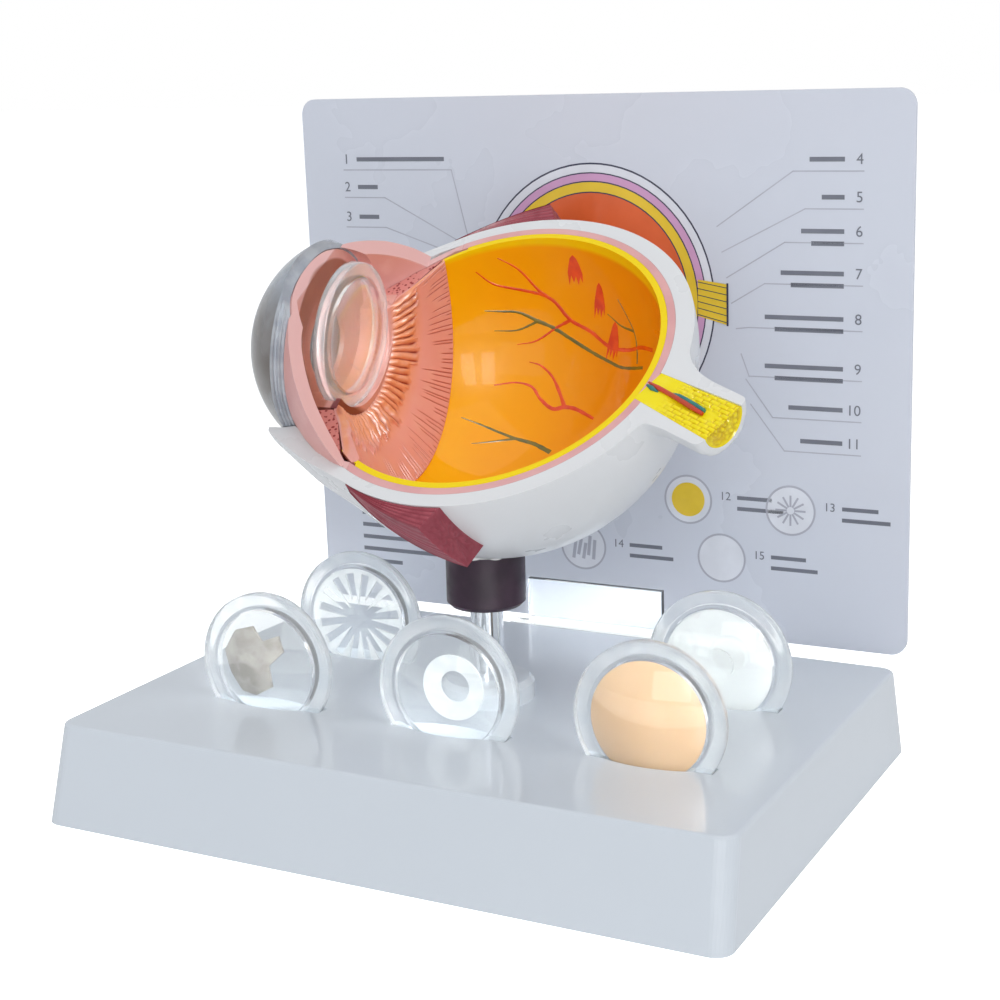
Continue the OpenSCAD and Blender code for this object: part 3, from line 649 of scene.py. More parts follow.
stroke_piece("middle_artery", vermilion, [
    ([(53, 63), (73, 63), (84, 63)], 0.8, 1.3),
    ([(84, 63), (91, 57), (96, 52), (102, 48), (108, 46)], 1.2, 0.25),
    ([(84, 63), (94, 64), (104, 60), (109, 55), (118, 52), (130, 50)], 1.3, 0.3)])
stroke_piece("lower_vein", olive, [
    ([(80, 81), (115, 77), (135, 72)], 1.3, 1.0),
    ([(135, 72), (145, 66), (152, 59), (157, 53)], 0.9, 0.25),
    ([(135, 72), (150, 69), (168, 62)], 0.9, 0.2)])

# A flame mark: one blunt top and three or four points that run down from it.
flame_tips = ((-0.42, 0.86), (-0.16, 0.95), (0.12, 0.9), (0.4, 1.0))


def flame(centre, height, width, lean):
    """Points and faces of one flame mark on the retina."""
    bearing, depth = centre
    middle = on_retina(bearing, depth)
    down = (on_retina(bearing, depth + 1) - middle).normalized()
    side = middle.normalized().cross(down).normalized()
    down, side = (down * math.cos(lean) + side * math.sin(lean),
                  side * math.cos(lean) - down * math.sin(lean))
    outline = [(0.0, 0.0), (-0.2, 0.12), (-0.34, 0.35), (-0.45, 0.6)]
    for k, (across, drop) in enumerate(flame_tips):
        outline.append((across, drop))
        if k < len(flame_tips) - 1:
            outline.append(((across + flame_tips[k + 1][0]) / 2, 0.68))
    outline += [(0.45, 0.6), (0.34, 0.35), (0.2, 0.12)]
    rim = [
        (middle + side * x * width + down * (y - 0.5) * height).normalized() for x, y in outline
    ]
    points = [section @ (p * (retina_radius + 0.01) * MM) for p in rim]
    points += [section @ (p * (retina_radius - stroke_height) * MM) for p in rim]
    return points, sleeve(1, len(rim))[:-1] + [tuple(reversed(range(len(rim), 2 * len(rim))))]


make_piece("flame_marks", *joined(
    flame((82, 13), 8.6, 4.6, 0.05), flame((72, 23), 9.6, 3.6, 0.0),
    flame((62.5, 35.5), 10.0, 4.0, -0.12),
), vermilion, "eye", slot="retina_yellow")

# ---------------------------------------------------------------------------------------------
# Hood: the pink shell in front, cast a little off the eye's axis and sliced by one leaning plane.
# Its paint is thin, matt and a little uneven, and paler on the sliced rim. Painted shade darkens the
# inside of its front wall, behind the lens, to red-brown.
hood_plane_lean, hood_plane_side, hood_plane_out = 53.9, 4.15, 22.6
plane_normal = eye.to_3x3() @ Vector((
    math.sin(math.radians(hood_plane_lean)), math.sin(math.radians(hood_plane_side)),
    math.cos(math.radians(hood_plane_lean)))).normalized()
plane_turn = plane_normal.to_track_quat("Z", "Y").to_matrix().to_4x4()
hood_plane = Matrix.Translation(eye_centre - plane_normal * hood_plane_out * MM) @ plane_turn


def around(finish, outer, inner):
    """From 0 to 1 between two distances from the eye's own axis."""
    middle = finish.sum("SUBTRACT", finish.place(), eye_centre, kind="VectorMath", out="Vector")
    across = finish.sum("CROSS_PRODUCT", middle, eye_axis, kind="VectorMath", out="Vector")
    length = finish.sum("LENGTH", across, kind="VectorMath", out="Value")
    return finish.ranged(length, outer * MM, inner * MM)


hood_outline = [
    (front_root, 37.4), (-26, 35.0), (-31, 31.75), (-35, 28.3), (-37.5, 25.7), (shoulder_x, 23.35),
    (shoulder_x, 22.3), (-41.4, 21.9), (-42.0, 21.3), (-42.2, 20.6), (-42.2, 7.5), (-41.2, 8.2),
    (-40.6, 12.5), (-39.0, 16.6), (-38.0, 19.3), (-37.2, 21.0), (-36.2, 22.3), (-31, 27.3),
    (-25, 32.4), (-22.6, 34.9), (front_root, 35.4), (front_root, 37.4)]
seat_room = [(-40.4, 0), (-40.4, 19.85), (-36.0, 19.85), (-30, 19.85), (-30, 0)]
hood_paint = Finish("hood_paint", (0.74, 0.37, 0.33), 0.4, Coat_Weight=0.12, Coat_Roughness=0.25)
hood_paint.patches(60, (0.70, 0.34, 0.33), 0.4, 0.7).patches(180, (0.78, 0.45, 0.42), 0.55, 0.8)
sliced_rim = along(hood_paint, plane_normal, -0.35, -0.15, hood_plane.translation)
hood_paint.over(sliced_rim, (0.76, 0.45, 0.43))
# Painted shade: the inside of the front wall, behind the lens, is darkened to red-brown.
front_wall_shade = hood_paint.sum(
    "MULTIPLY", along(hood_paint, eye_axis, -38.4, -39.0), around(hood_paint, 17.6, 17.0))
hood_paint.over(front_wall_shade, (0.34, 0.11, 0.07))
hood_paint.shine(90, 0.32, 0.5).grain(420, 0.00005, 0.6)
hood = make_piece("hood_casting", *front_cast(hood_outline, 192), hood_paint, None)


def above_hood(drop):
    """Points and faces of all the room above the hood's plane, from some millimetres over it."""
    return block(hood_plane, (-90, -90, drop), (90, 90, 90))


carve(hood, hood_paint, above_hood(0), section, False)
carve(hood, hood_paint, spin(seat_room, eye, 96, 0.01))
hood.data.materials.clear()
hood.data.materials.append(hood_paint.material)
smooth(hood, 36)
settle_in(hood, "eye", ("anterior_hood",))

# ---------------------------------------------------------------------------------------------
# Iris: a thin ring printed near-black and mottled with brown, stuck to the hood's flat face
# round the pupil.
iris_paint = Finish("iris_print", (0.085, 0.075, 0.07), 0.35, Coat_Weight=0.3)
iris_paint.patches(200, (0.22, 0.18, 0.13), 0.42, 0.62).patches(500, (0.04, 0.04, 0.045), 0.5, 0.7)
iris_outline = [(-42.25, 7.5), (-42.25, 19.9), (-42.8, 19.6), (-42.8, 7.7), (-42.25, 7.5)]
make_piece("iris_ring", *front_cast(iris_outline), iris_paint, "eye", ("iris_disc",), "iris_print")

# ---------------------------------------------------------------------------------------------
# Ciliary muscle: a moulded wedge glued in behind the hood. Its cut end is painted with dark red
# specks for the fibres.
muscle_pink = Finish("ciliary_section_paint", (0.66, 0.25, 0.22), 0.4)
dots = muscle_pink.node("TexVoronoi", Vector=muscle_pink.place(), Scale=1000.0)
muscle_pink.over(muscle_pink.ranged(dots.outputs["Distance"], 0.28, 0.4, 1.0, 0.0), (0.28, 0.02, 0.02))
muscle_pink.grain(900, 0.0001)
wedge_outline = [
    (-37.6, 18.7), (-37.0, 21.0), (-36.2, 22.1), (-31, 27.15), (-24.8, 32.3), (-29.3, 22.9),
    (-32.2, 18.7), (-37.6, 18.7)]
wedge = make_piece("ciliary_muscle_wedge", *front_cast(wedge_outline), muscle_pink, None)
slice_off(wedge, section @ Matrix.Translation((0, 0, -0.03 * MM)))
smooth(wedge, 30)
settle_in(wedge, "eye", ("ciliary_muscle",))

# ---------------------------------------------------------------------------------------------
# Ciliary body: a cast funnel of soft folds. Fine lines are cut in from its wide edge, and round
# the lens the folds stand up, stained orange, with painted shade in the valleys between them and in the
# cut lines.
ciliary_line = [
    Vector(p) for p in (
        (-20.6, 35.35, 0), (-19.75, 35.0, 0), (-19.2, 34.3, 0), (-19.5, 33.6, 0), (-21.4, 31.1, 0),
        (-23.3, 28.4, 0), (-25.6, 25.4, 0), (-27.8, 22.6, 0), (-30.0, 19.4, 0), (-31.9, 16.8, 0),
        (-32.8, 16.0, 0), (-33.2, 16.9, 0))
]
ciliary_out = Vector((0.76, -0.65, 0))
fold_turns = 1120
fold_height, line_depth = 1.25, 0.28
fold_count = 31
line_count = 80
edge_sweep = 4.7
end_angle = math.radians(3)
random.seed(7)
line_reach = [random.choice((0.2, 0.45, 0.7, 1.0)) * random.uniform(0.8, 1) for _ in range(line_count)]
line_shift = [random.uniform(-0.22, 0.22) for _ in range(line_count)]
fold_reach = [random.uniform(-0.05, 0.07) for _ in range(fold_count + 2)]


def ease(value, low, high):
    """From 0 to 1 between two values, smoothly."""
    t = min(max((value - low) / (high - low), 0), 1)
    return t * t * (3 - 2 * t)


def fold_at(share, turn_share):
    """(height in millimetres, painted shade of valleys and cut lines) of the funnel at a place from
    edge to lens.
    """
    line_zone = 0.46 + 0.12 * ease(turn_share, 0.1, 0.5)
    warp = turn_share + 0.011 * noise.noise(Vector((turn_share * 26, share * 4, 3)))
    in_folds = min(max(warp, 0), 1) * fold_count
    wave = abs(math.sin(math.pi * in_folds))
    starts = line_zone + fold_reach[int(in_folds + 0.5)]
    inner = ease(share, starts, starts + 0.07) * (1 - ease(share, 0.84, 0.93))
    bumps = 0.8 + 0.3 * noise.noise(Vector((in_folds * 0.7, share * 16, 8)))
    height = inner * (fold_height * wave ** 0.6 * bumps - 0.35)
    crevice = inner * (1 - wave) ** 2.2
    blob = crevice * (1 - ease(share, starts + 0.07, starts + 0.2))
    place_in = turn_share * line_count
    k = int(place_in) % line_count
    near = abs(place_in - int(place_in) - 0.5 + line_shift[k])
    reach = 0.06 + (line_zone - 0.1) * line_reach[k]
    cut = (1 - ease(near, 0.03, 0.17)) * (1 - ease(share, reach * 0.75, reach))
    cut *= ease(share, 0.045, 0.1)
    height -= line_depth * cut
    return height, min(1.0, 0.62 * crevice + 0.6 * blob + 0.75 * cut)


def carry(piece, name, numbers):
    """Gives a mesh a map with one number to each point."""
    piece.data.attributes.new(name, "FLOAT", "POINT").data.foreach_set("value", numbers)


def on_ball(x):
    """Radius of the retina's inside at a place along the eye's axis."""
    return math.sqrt(retina_radius ** 2 - x ** 2)


def build_ciliary():
    """Points, faces and two maps of the funnel: painted shade of the valleys and place from edge to
    lens.
    """
    line = curve_through(ciliary_line, 7)
    lengths = [0.0]
    for a, b in zip(line, line[1:]):
        lengths.append(lengths[-1] + (b - a).length)
    closing = [Vector((-31.9, 19.2, 0)), Vector((-29.1, 23.1, 0)), Vector((-24.1, 32.2, 0))]
    rows = line + closing
    shares = [length / lengths[-1] for length in lengths] + [1.0] * len(closing)
    low_angles = [math.asin(-p.x * math.tan(section_tilt) / p.y) - end_angle for p in rows]
    points, fold_shade_map, share_map = [], [], []
    for k in range(fold_turns + 1):
        turn_share = k / fold_turns
        for row, (spot, share, low_angle) in enumerate(zip(rows, shares, low_angles)):
            height, dark = fold_at(share, turn_share) if row < len(line) else (0, 0)
            sweep = edge_sweep * ease(turn_share, 0.36, 0.97) * (1 - ease(share, 0.0, 0.85))
            swept = Vector((spot.x - sweep, spot.y - on_ball(spot.x) + on_ball(spot.x - sweep), 0))
            lifted = swept + ciliary_out * height
            angle = math.pi + low_angle + (math.pi - 2 * low_angle) * turn_share
            points.append(eye @ (Vector((
                lifted.x, lifted.y * math.cos(angle), lifted.y * math.sin(angle))) * MM))
            fold_shade_map.append(dark)
            share_map.append(share)
    return points, sleeve(fold_turns, len(rows)), fold_shade_map, share_map


ciliary_paint = Finish("ciliary_paint", (0.80, 0.36, 0.30), 0.3, Coat_Weight=0.25, Coat_Roughness=0.12)
ciliary_paint.over(ciliary_paint.ranged(ciliary_paint.carried("place"), 0.5, 0.68), (0.82, 0.34, 0.17))
ciliary_paint.over(ciliary_paint.ranged(ciliary_paint.carried("place"), 0.88, 0.94), (0.72, 0.36, 0.32))
ciliary_paint.patches(140, (0.82, 0.42, 0.34), 0.5, 0.8)
# Painted shade: the valleys between the folds and the cut lines go to a deep red-brown.
ciliary_paint.over(ciliary_paint.carried("valley_shade"), (0.42, 0.05, 0.012))
ciliary_paint.shine(120, 0.32, 0.48).grain(600, 0.00003)
ciliary_points, ciliary_faces, fold_shade_map, share_map = build_ciliary()
ciliary = make_piece("ciliary_folds", leaned(ciliary_points), ciliary_faces, ciliary_paint, None)
carry(ciliary, "valley_shade", fold_shade_map)
carry(ciliary, "place", share_map)
slice_off(ciliary, section)
smooth(ciliary, 60)
settle_in(ciliary, "eye", ("ciliary_body",))

# ---------------------------------------------------------------------------------------------
# Retina's margin: where the folds' edge sweeps forward, a strip of the same amber lining runs on
# past the yellow coat's own front edge, moulded in one with it.
margin_outline = [(x, on_ball(x) - 0.02) for x in (-18.6, -19.6, -20.6, -21.6, -22.6, -23.6, -24.6)]
margin_outline += [(x, r + 1.1) for x, r in reversed(margin_outline)] + margin_outline[:1]
margin = make_piece("retina_margin", *spin(margin_outline, eye), retina_paint, None)
slice_off(margin, section @ Matrix.Translation((0, 0, -0.06 * MM)))
smooth(margin, 30)
settle_in(margin, "eye")

# ---------------------------------------------------------------------------------------------
# Lens seat: a moulded ring glued inside the folds, which the eye's own lens slides into. It is
# painted like the folds, with a painted shadow as a dark crescent low on the near side.
seat_paint = Finish("seat_paint", (0.70, 0.36, 0.31), 0.4, Coat_Weight=0.15)
seat_paint.patches(150, (0.64, 0.33, 0.28)).grain(500, 0.00005)
seat_paint.over(along(seat_paint, eye_axis, -34.6, -35.4), (0.48, 0.19, 0.13))
# Painted shadow: a dark crescent low on the near side of the seat, next to the lens.
crescent_shadow_way = eye.to_3x3() @ Vector((0, -0.87, -0.5))
crescent_shadow = seat_paint.sum("MULTIPLY", along(seat_paint, eye_axis, -33.6, -33.2),
                          along(seat_paint, crescent_shadow_way, 15.0, 16.4))
seat_paint.over(crescent_shadow, (0.17, 0.02, 0.025))
dress("lens_seat_ring", seat_paint)

# ---------------------------------------------------------------------------------------------
# Optic nerve: a trunk of packed fibres, moulded as rows of small cobbles on its open face and
# round ones on its cut end, painted lemon yellow, with painted shade darkening the gaps between the
# cobbles.
nerve_paint = Finish("nerve_paint", (0.90, 0.74, 0.006), 0.25, Coat_Weight=0.2, Coat_Roughness=0.1,
                     Specular_IOR_Level=0.2)
# Painted shade: the gaps between the cobbles are darkened to a deep yellow.
nerve_paint.over(nerve_paint.carried("gap_shade"), (0.66, 0.42, 0.004))
nerve_paint.patches(250, (0.93, 0.80, 0.05), 0.5, 0.8).grain(900, 0.00002)


def cobble(along_share, across_share, long, wide, rise):
    """(height, painted shade in the gaps) of small rounded blocks laid like bricks."""
    row = math.floor(across_share / wide)
    place_in_row = along_share / long + 0.5 * (row % 2) + 0.15 * noise.noise(Vector((row * 3.7, 0, 0)))
    u = abs((place_in_row % 1) - 0.5) * 2
    v = abs((across_share / wide % 1) - 0.5) * 2
    swell = (1 - u ** 4) * (1 - v ** 3)
    return rise * swell ** 0.6, max(0.0, 1 - swell * 2.2)


cobble_long, cobble_wide, cobble_rise, cobble_shift = 2.5, 1.05, 0.46, 40


def build_nerve():
    """Points, faces and the painted shade map of the half trunk."""
    root, tip = 1.15, nerve_length - 0.05
    rings, across_steps, round_steps = 150, 72, 28
    points, gap_shade, width = [], [], across_steps + round_steps
    for k in range(rings + 1):
        s = root + (tip - root) * k / rings
        radius = 4.3 + (5.65 - 4.3) * (s - root) / (tip - root)
        rough = ease(s, 6, 11)
        for m in range(across_steps):
            y = radius * (1 - 2 * m / across_steps)
            inside = ease(radius - abs(y), 0, 0.5)
            free = ease(abs(y - 0.2), 0.9, 1.5) if s < tip - 2.6 else 1
            height, hole = cobble(s, y + cobble_shift, cobble_long, cobble_wide, cobble_rise)
            points.append(nerve @ (Vector((s, y, height * rough * inside * free - 0.35 * rough)) * MM))
            gap_shade.append(hole * rough * free * inside)
        for m in range(round_steps):
            angle = math.pi + math.pi * m / round_steps
            points.append(nerve @ (Vector((
                s, radius * math.cos(angle), radius * math.sin(angle) - 0.02)) * MM))
            gap_shade.append(0.0)
    rim = points[-width:]
    centre_z, end_rings = -2.4, 16
    for step in range(1, end_rings + 1):
        share = 1 - step / (end_rings + 1)
        for edge_point in rim:
            local = nerve.inverted() @ edge_point / MM
            y = local.y * share
            z = centre_z + (local.z - centre_z) * share
            cell = noise.voronoi(Vector((y * 0.85, z * 0.85, 5)))[0]
            swell = min(1.0, (cell[1] - cell[0]) * 2.4)
            fade = min(1.0, (1 - share) * 9)
            points.append(nerve @ (Vector((tip - 0.55 * fade + 0.5 * swell * fade, y, z)) * MM))
            gap_shade.append((1 - swell) * fade)
    return points, sleeve(rings + end_rings, width), gap_shade


nerve_points, nerve_faces, nerve_gap_shade = build_nerve()
trunk = make_piece("nerve_trunk", nerve_points, nerve_faces, nerve_paint, None, crease=70)
carry(trunk, "gap_shade", nerve_gap_shade)
settle_in(trunk, "eye", ("optic_nerve",))

# ---------------------------------------------------------------------------------------------
# Central vessels: two strands of modelling resin laid along the open face of the nerve. The blue
# one dips under the red one and comes out again, and both end in a fine point.
artery_paint = Finish("artery_paint", (0.60, 0.035, 0.006), 0.2, Coat_Weight=0.4)
artery_paint.patches(300, (0.40, 0.06, 0.01), 0.45, 0.7).grain(700, 0.00002)
vein_paint = Finish("vein_paint", (0.015, 0.17, 0.17), 0.2, Coat_Weight=0.4)
vein_paint.patches(300, (0.03, 0.27, 0.19), 0.45, 0.8).grain(700, 0.00002)


def cord(stops, thick):
    """Points and faces of a tapering round cord through (along, across, up, share of thickness)."""
    points = []
    round_steps = 10
    path = curve_through([Vector(stop[:3]) for stop in stops], 8)
    for k, spot in enumerate(path):
        at = k / 8
        low_stop = min(int(at), len(stops) - 2)
        share = at - low_stop
        radius = thick * (stops[low_stop][3] * (1 - share) + stops[low_stop + 1][3] * share)
        for m in range(round_steps):
            angle = 2 * math.pi * m / round_steps
            outwards = Vector((0, math.cos(angle), math.sin(angle)))
            points.append(nerve @ ((spot + outwards * radius) * MM))
    return points, sleeve(len(path) - 1, round_steps)


artery_stops = (
    (0.6, 0.9, -0.1, 0.5), (4, 0.5, 0.25, 1), (9, 0.2, 0.3, 1), (14, -0.25, 0.3, 1.1),
    (17.8, -0.5, 0.2, 0.8))
make_piece("central_artery", *cord(artery_stops, 0.55), artery_paint, "eye",
           ("retinal_artery",), "artery_red")
vein_stops = (
    ((0.8, 0.1, -0.1, 0.5), (2.6, -0.2, 0.1, 1), (4.6, -0.35, 0.0, 0.3)),
    ((7.5, 0.9, 0.0, 0.3), (10, 0.9, 0.25, 0.9), (14, 0.65, 0.25, 1), (17.6, 0.4, 0.2, 0.8)))
make_piece("central_vein", *joined(*(cord(stops, 0.6) for stops in vein_stops)), vein_paint, "eye",
           ("retinal_vein",), "vein_blue")

# ---------------------------------------------------------------------------------------------
# Rectus muscles: straps of crimson with ridges along their length, sliced off square at the
# back, where the cut shows a coarse grain. A painted highlight lightens the crests of the ridges and
# the raised grain of the cut.
muscle_paint = Finish("muscle_paint", (0.23, 0.016, 0.035), 0.42, Coat_Weight=0.12, Coat_Roughness=0.3)
# Painted highlight: the crests of the ridges and the raised grain of the cut end are lighter.
muscle_paint.over(muscle_paint.carried("crest_highlight"), (0.37, 0.06, 0.085))
muscle_paint.patches(300, (0.22, 0.012, 0.03), 0.5, 0.75).grain(1000, 0.00008, 0.8)
side_steps, long_steps = 26, 60


def build_muscle(side, turn):
    """Points, faces and painted highlight map of one muscle, from its tendon to its cut end."""
    points, crest_highlight = [], []
    for k in range(long_steps + 1):
        t = k / long_steps
        thick = 0.25 + 6.0 * t ** 1.15
        lead = -19.5 + 25.3 * t
        width_now = 3.2 + 13.2 * t ** 0.8
        ring = []
        corners = ((lead - 0.3, 0, 0.0), (lead - 3.0 * t, thick, 0.0),
                   (lead + 2.4 * t, thick * 0.98, width_now), (lead + 3.4 * t, 0, width_now * 1.08))
        for c in range(4):
            a, b = corners[c], corners[(c + 1) % 4]
            for m in range(side_steps):
                share = m / side_steps
                x, out, deep = (a[n] + (b[n] - a[n]) * share for n in range(3))
                wave = abs(math.sin(math.pi * (5 if c in (0, 2) else 8) * share))
                edge_free = math.sin(math.pi * share) ** 0.35
                rise = 0.34 * wave * edge_free * ease(t, 0.03, 0.35) if c in (0, 1) else 0
                if c == 0:
                    deep -= rise - 0.34
                elif c == 1:
                    out += rise - 0.34
                lap = out + sclera_outer + 0.02
                angle = math.atan2(deep, lap)
                reach = math.sqrt(max(lap ** 2 - (x - sclera_shift) ** 2, 1))
                radius = reach if c == 3 or out < 0.6 else math.sqrt(
                    max((sclera_outer + out) ** 2 - (x - sclera_shift) ** 2, 1))
                ring.append(Vector((x, side * radius * math.cos(angle), -radius * math.sin(angle))))
                crest_highlight.append(wave * edge_free if c in (0, 1) else 0.3)
        points += [turn @ (p * MM) for p in ring]
    width = 4 * side_steps
    rim = points[-width:]
    middle = sum(rim, Vector()) / width
    end_rings = 12
    for step in range(1, end_rings + 1):
        share = 1 - step / (end_rings + 1)
        for edge_point in rim:
            spot = middle + (edge_point - middle) * share
            rough = noise.noise(spot * 1400) * 0.28 * min(1, (1 - share) * 6)
            points.append(spot + turn.to_3x3() @ Vector((rough * MM, 0, 0)))
            crest_highlight.append(0.15 + 1.6 * rough)
    return points, sleeve(long_steps + end_rings, width), crest_highlight


for name, side, turn in (
    ("lateral_rectus", -1, section),
    ("medial_rectus", 1, section @ Matrix.Rotation(math.radians(7), 4, "Z")),
):
    muscle_points, muscle_faces, ridges = build_muscle(side, turn)
    strap = make_piece(name + "_strap", muscle_points, muscle_faces, muscle_paint, None, crease=50)
    carry(strap, "crest_highlight", ridges)
    settle_in(strap, "eye", (name,))

# ---------------------------------------------------------------------------------------------
# Cornea: a thick clear dome moulded in hard plastic. Its dark brown-grey tint is painted and stands for
# the iris seen through it, with blue-grey patches of painted reflection.
# Its skirt of fine steps grips the hood's front, and a thin flat wall closes it above.
cap_centre, cap_radius, cap_thick = -30.03, 27.29, 1.4
cap_foot_x, cap_foot, skirt_end_x, skirt_end = -43.05, 24.0, -39.95, 23.15
skirt_steps = 4
dome_reflection_paint = Finish("dome_painted_reflection", (0.30, 0.28, 0.27), 0.08, Transmission_Weight=0.45, IOR=1.4,
               Coat_Weight=0.6)
# Painted reflection: dark brown-grey patches stand for the iris behind the dome, and blue-grey patches
# for reflections on it.
dome_reflection_paint.patches(110, (0.17, 0.14, 0.115), 0.4, 0.65).patches(45, (0.42, 0.46, 0.51), 0.48, 0.66)
dome_reflection_paint.grain(120, 0.00003, 0.4)
skirt_clear = Finish("clear_skirt", (0.66, 0.70, 0.76), 0.12, Transmission_Weight=0.45, IOR=1.35,
                     Coat_Weight=0.5)
skirt_clear.patches(160, (0.48, 0.52, 0.58), 0.4, 0.6).grain(300, 0.00003)
foot_angle = math.pi - math.acos((cap_centre - cap_foot_x) / cap_radius)
cap_outline = arc(cap_centre, cap_radius, math.pi, foot_angle, 40)
for k in range(skirt_steps):
    for part, rise in ((0.25, 0.12), (0.75, 0.12), (1.0, -0.1)):
        share = (k + part) / skirt_steps
        cap_outline.append((cap_foot_x + share * (skirt_end_x - cap_foot_x),
                            cap_foot + share * (skirt_end - cap_foot) + rise))
skirt_inside = cap_radius - cap_thick
inside_x = -42.9
cap_outline += [(skirt_end_x, 22.5), (-41.5, 22.1), (-42.1, 21.5), (-42.35, 20.7), (-42.35, 0)]
inside_angle = math.pi - math.acos((cap_centre - inside_x) / skirt_inside)
cap_hollow = [(-42.0, 0), (-42.0, 21.3), (-42.3, 22.2), (inside_x, 22.4)]
cap_hollow += arc(cap_centre, skirt_inside, inside_angle, math.pi, 40)
cap = make_piece("cornea_dome", *front_cast(cap_outline), dome_reflection_paint, None, crease=25)
trim_drop, wall_drop = -0.3, -1.5
carve(cap, dome_reflection_paint, above_hood(trim_drop), section, False)
carve(cap, dome_reflection_paint, front_cast(cap_hollow), hood_plane @ Matrix.Translation((0, 0, wall_drop * MM)))
smooth(cap, 25)
cap.data.materials.append(skirt_clear.material)
for face in cap.data.polygons:
    spot = eye_inverse @ face.center / MM
    on_skirt = spot.x > cap_foot_x and math.hypot(spot.y - front_shift.y, spot.z - front_shift.z) > 22.1
    face.material_index = int(on_skirt or face.normal.dot(plane_normal) > 0.98)
cap.visible_shadow = False
settle_in(cap, "cornea", ("cornea_cap",))

# ---------------------------------------------------------------------------------------------
# Lenses: two clear moulded halves round a hollow, with a frosted rim. One stands in the eye's
# seat, and five spare ones stand in the tray's wells.
lens_plastic = Finish("clear_lens_plastic", (0.89, 0.91, 0.92), 0.03, Transmission_Weight=0.95,
                      IOR=1.36, Coat_Weight=0.5, Coat_Roughness=0.02)
lens_plastic.grain(120, 0.00002, 0.3)
rim_plastic = Finish("frosted_rim", (0.80, 0.84, 0.86), 0.2, Transmission_Weight=0.75, IOR=1.25,
                     Coat_Weight=0.5, Coat_Roughness=0.05)
rim_plastic.patches(220, (0.90, 0.92, 0.93), 0.4, 0.6).grain(200, 0.00005, 0.5)
lens_radius, rim_half, dome_radius, dome_sag, lens_wall = 17.1, 1.5, 14.0, 3.4, 1.1
dome_curve = (dome_radius ** 2 + dome_sag ** 2) / (2 * dome_sag)
dome_centre = rim_half + dome_sag - dome_curve
rim_soft, dome_step = 0.45, 0.6


def dome_line(curve, reach, steps):
    """(along, radius) pairs from a dome's pole out to its rim."""
    return arc(-dome_centre, curve, math.pi, math.pi - math.asin(reach / curve), steps)


def mirrored(half):
    """Both sides of an outline that is the same front and back."""
    return half + [(-x, r) for x, r in reversed(half)]


def make_lens(name, turn, body, halves):
    """One clear lens: its outside, and a hollow between its two halves that faces inwards."""
    outside = dome_line(dome_curve, dome_radius, 20) + [
        (-rim_half, dome_radius + dome_step), (-rim_half, lens_radius - rim_soft),
        (-rim_half + 0.3 * rim_soft, lens_radius - 0.3 * rim_soft), (-rim_half + rim_soft, lens_radius)]
    inside = dome_line(dome_curve - lens_wall, dome_radius - lens_wall, 16)
    outer_points, outer_faces = spin(mirrored(outside), turn, 128)
    points, faces = joined((outer_points, outer_faces), spin(mirrored(inside), turn, 128))
    piece = raw_piece(name, points, faces, lens_plastic, rim_plastic)
    away = turn.inverted()
    for face in piece.data.polygons:
        spot = away @ face.center / MM
        face.material_index = int(math.hypot(spot.y, spot.z) > dome_radius + 0.1)
    facing = bmesh.new()
    facing.from_mesh(piece.data)
    facing.faces.ensure_lookup_table()
    outer, inner = facing.faces[:len(outer_faces)], facing.faces[len(outer_faces):]
    bmesh.ops.recalc_face_normals(facing, faces=outer)
    bmesh.ops.recalc_face_normals(facing, faces=inner)
    bmesh.ops.reverse_faces(facing, faces=inner)
    facing.to_mesh(piece.data)
    facing.free()
    smooth(piece, 30)
    piece.visible_shadow = False
    settle_in(piece, body, halves)


eye_lens_place = eye @ Matrix.Translation(Vector((-34.9, 0, 0)) * MM)
make_lens("eye_lens", eye_lens_place, "eye_lens", ("eye_lens_front", "eye_lens_back"))

for kind in ("capsular", "cortical", "subcapsular", "nuclear", "mature"):
    low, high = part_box(kind + "_lens_front")
    seat = Vector(((low.x + high.x) / 2, high.y, (low.z + high.z) / 2))
    make_lens(kind + "_lens", Matrix.Translation(seat) @ Matrix.Rotation(math.pi / 2, 4, "Z"),
              kind + "_lens", (kind + "_lens_front", kind + "_lens_back"))

# ---------------------------------------------------------------------------------------------
# Signs of clouding: each spare lens holds one between its halves. They are a torn grey flake,
# printed spokes and a printed ring on film, a milky disc and a cast amber core.
flake_paint = Finish("flake_paint", (0.20, 0.18, 0.155), 0.5)
flake_paint.patches(350, (0.32, 0.30, 0.27), 0.4, 0.65).grain(800, 0.0001)
dress("capsular_flake", flake_paint)
film = Finish("printed_film", (0.78, 0.81, 0.82), 0.4, Alpha=0.55)
film.patches(400, (0.88, 0.9, 0.9)).grain(900, 0.00003)
dress("cortical_spokes", film)
dress("subcapsular_ring", film)
milk = Finish("milky_disc", (0.80, 0.82, 0.80), 0.35, Alpha=0.5)
milk.patches(90, (0.70, 0.72, 0.70), 0.4, 0.7).grain(300, 0.00003)
dress("mature_haze", milk)
nucleus = Finish("cast_nucleus", (0.46, 0.28, 0.13), 0.35, Coat_Weight=0.3)
nucleus.patches(70, (0.52, 0.34, 0.18), 0.4, 0.7).grain(400, 0.00003)
dress("nuclear_core", nucleus)

# ---------------------------------------------------------------------------------------------
# Clip: a strip of clear plastic, bent to hook over the tray's back wall and to hold the card's
# lower edge.
clip_plastic = Finish("clear_clip_plastic", (0.93, 0.955, 0.96), 0.03, Transmission_Weight=1.0,
                      IOR=1.47)
clip_plastic.grain(120, 0.00002, 0.3)
dress("card_clip", clip_plastic).visible_shadow = False

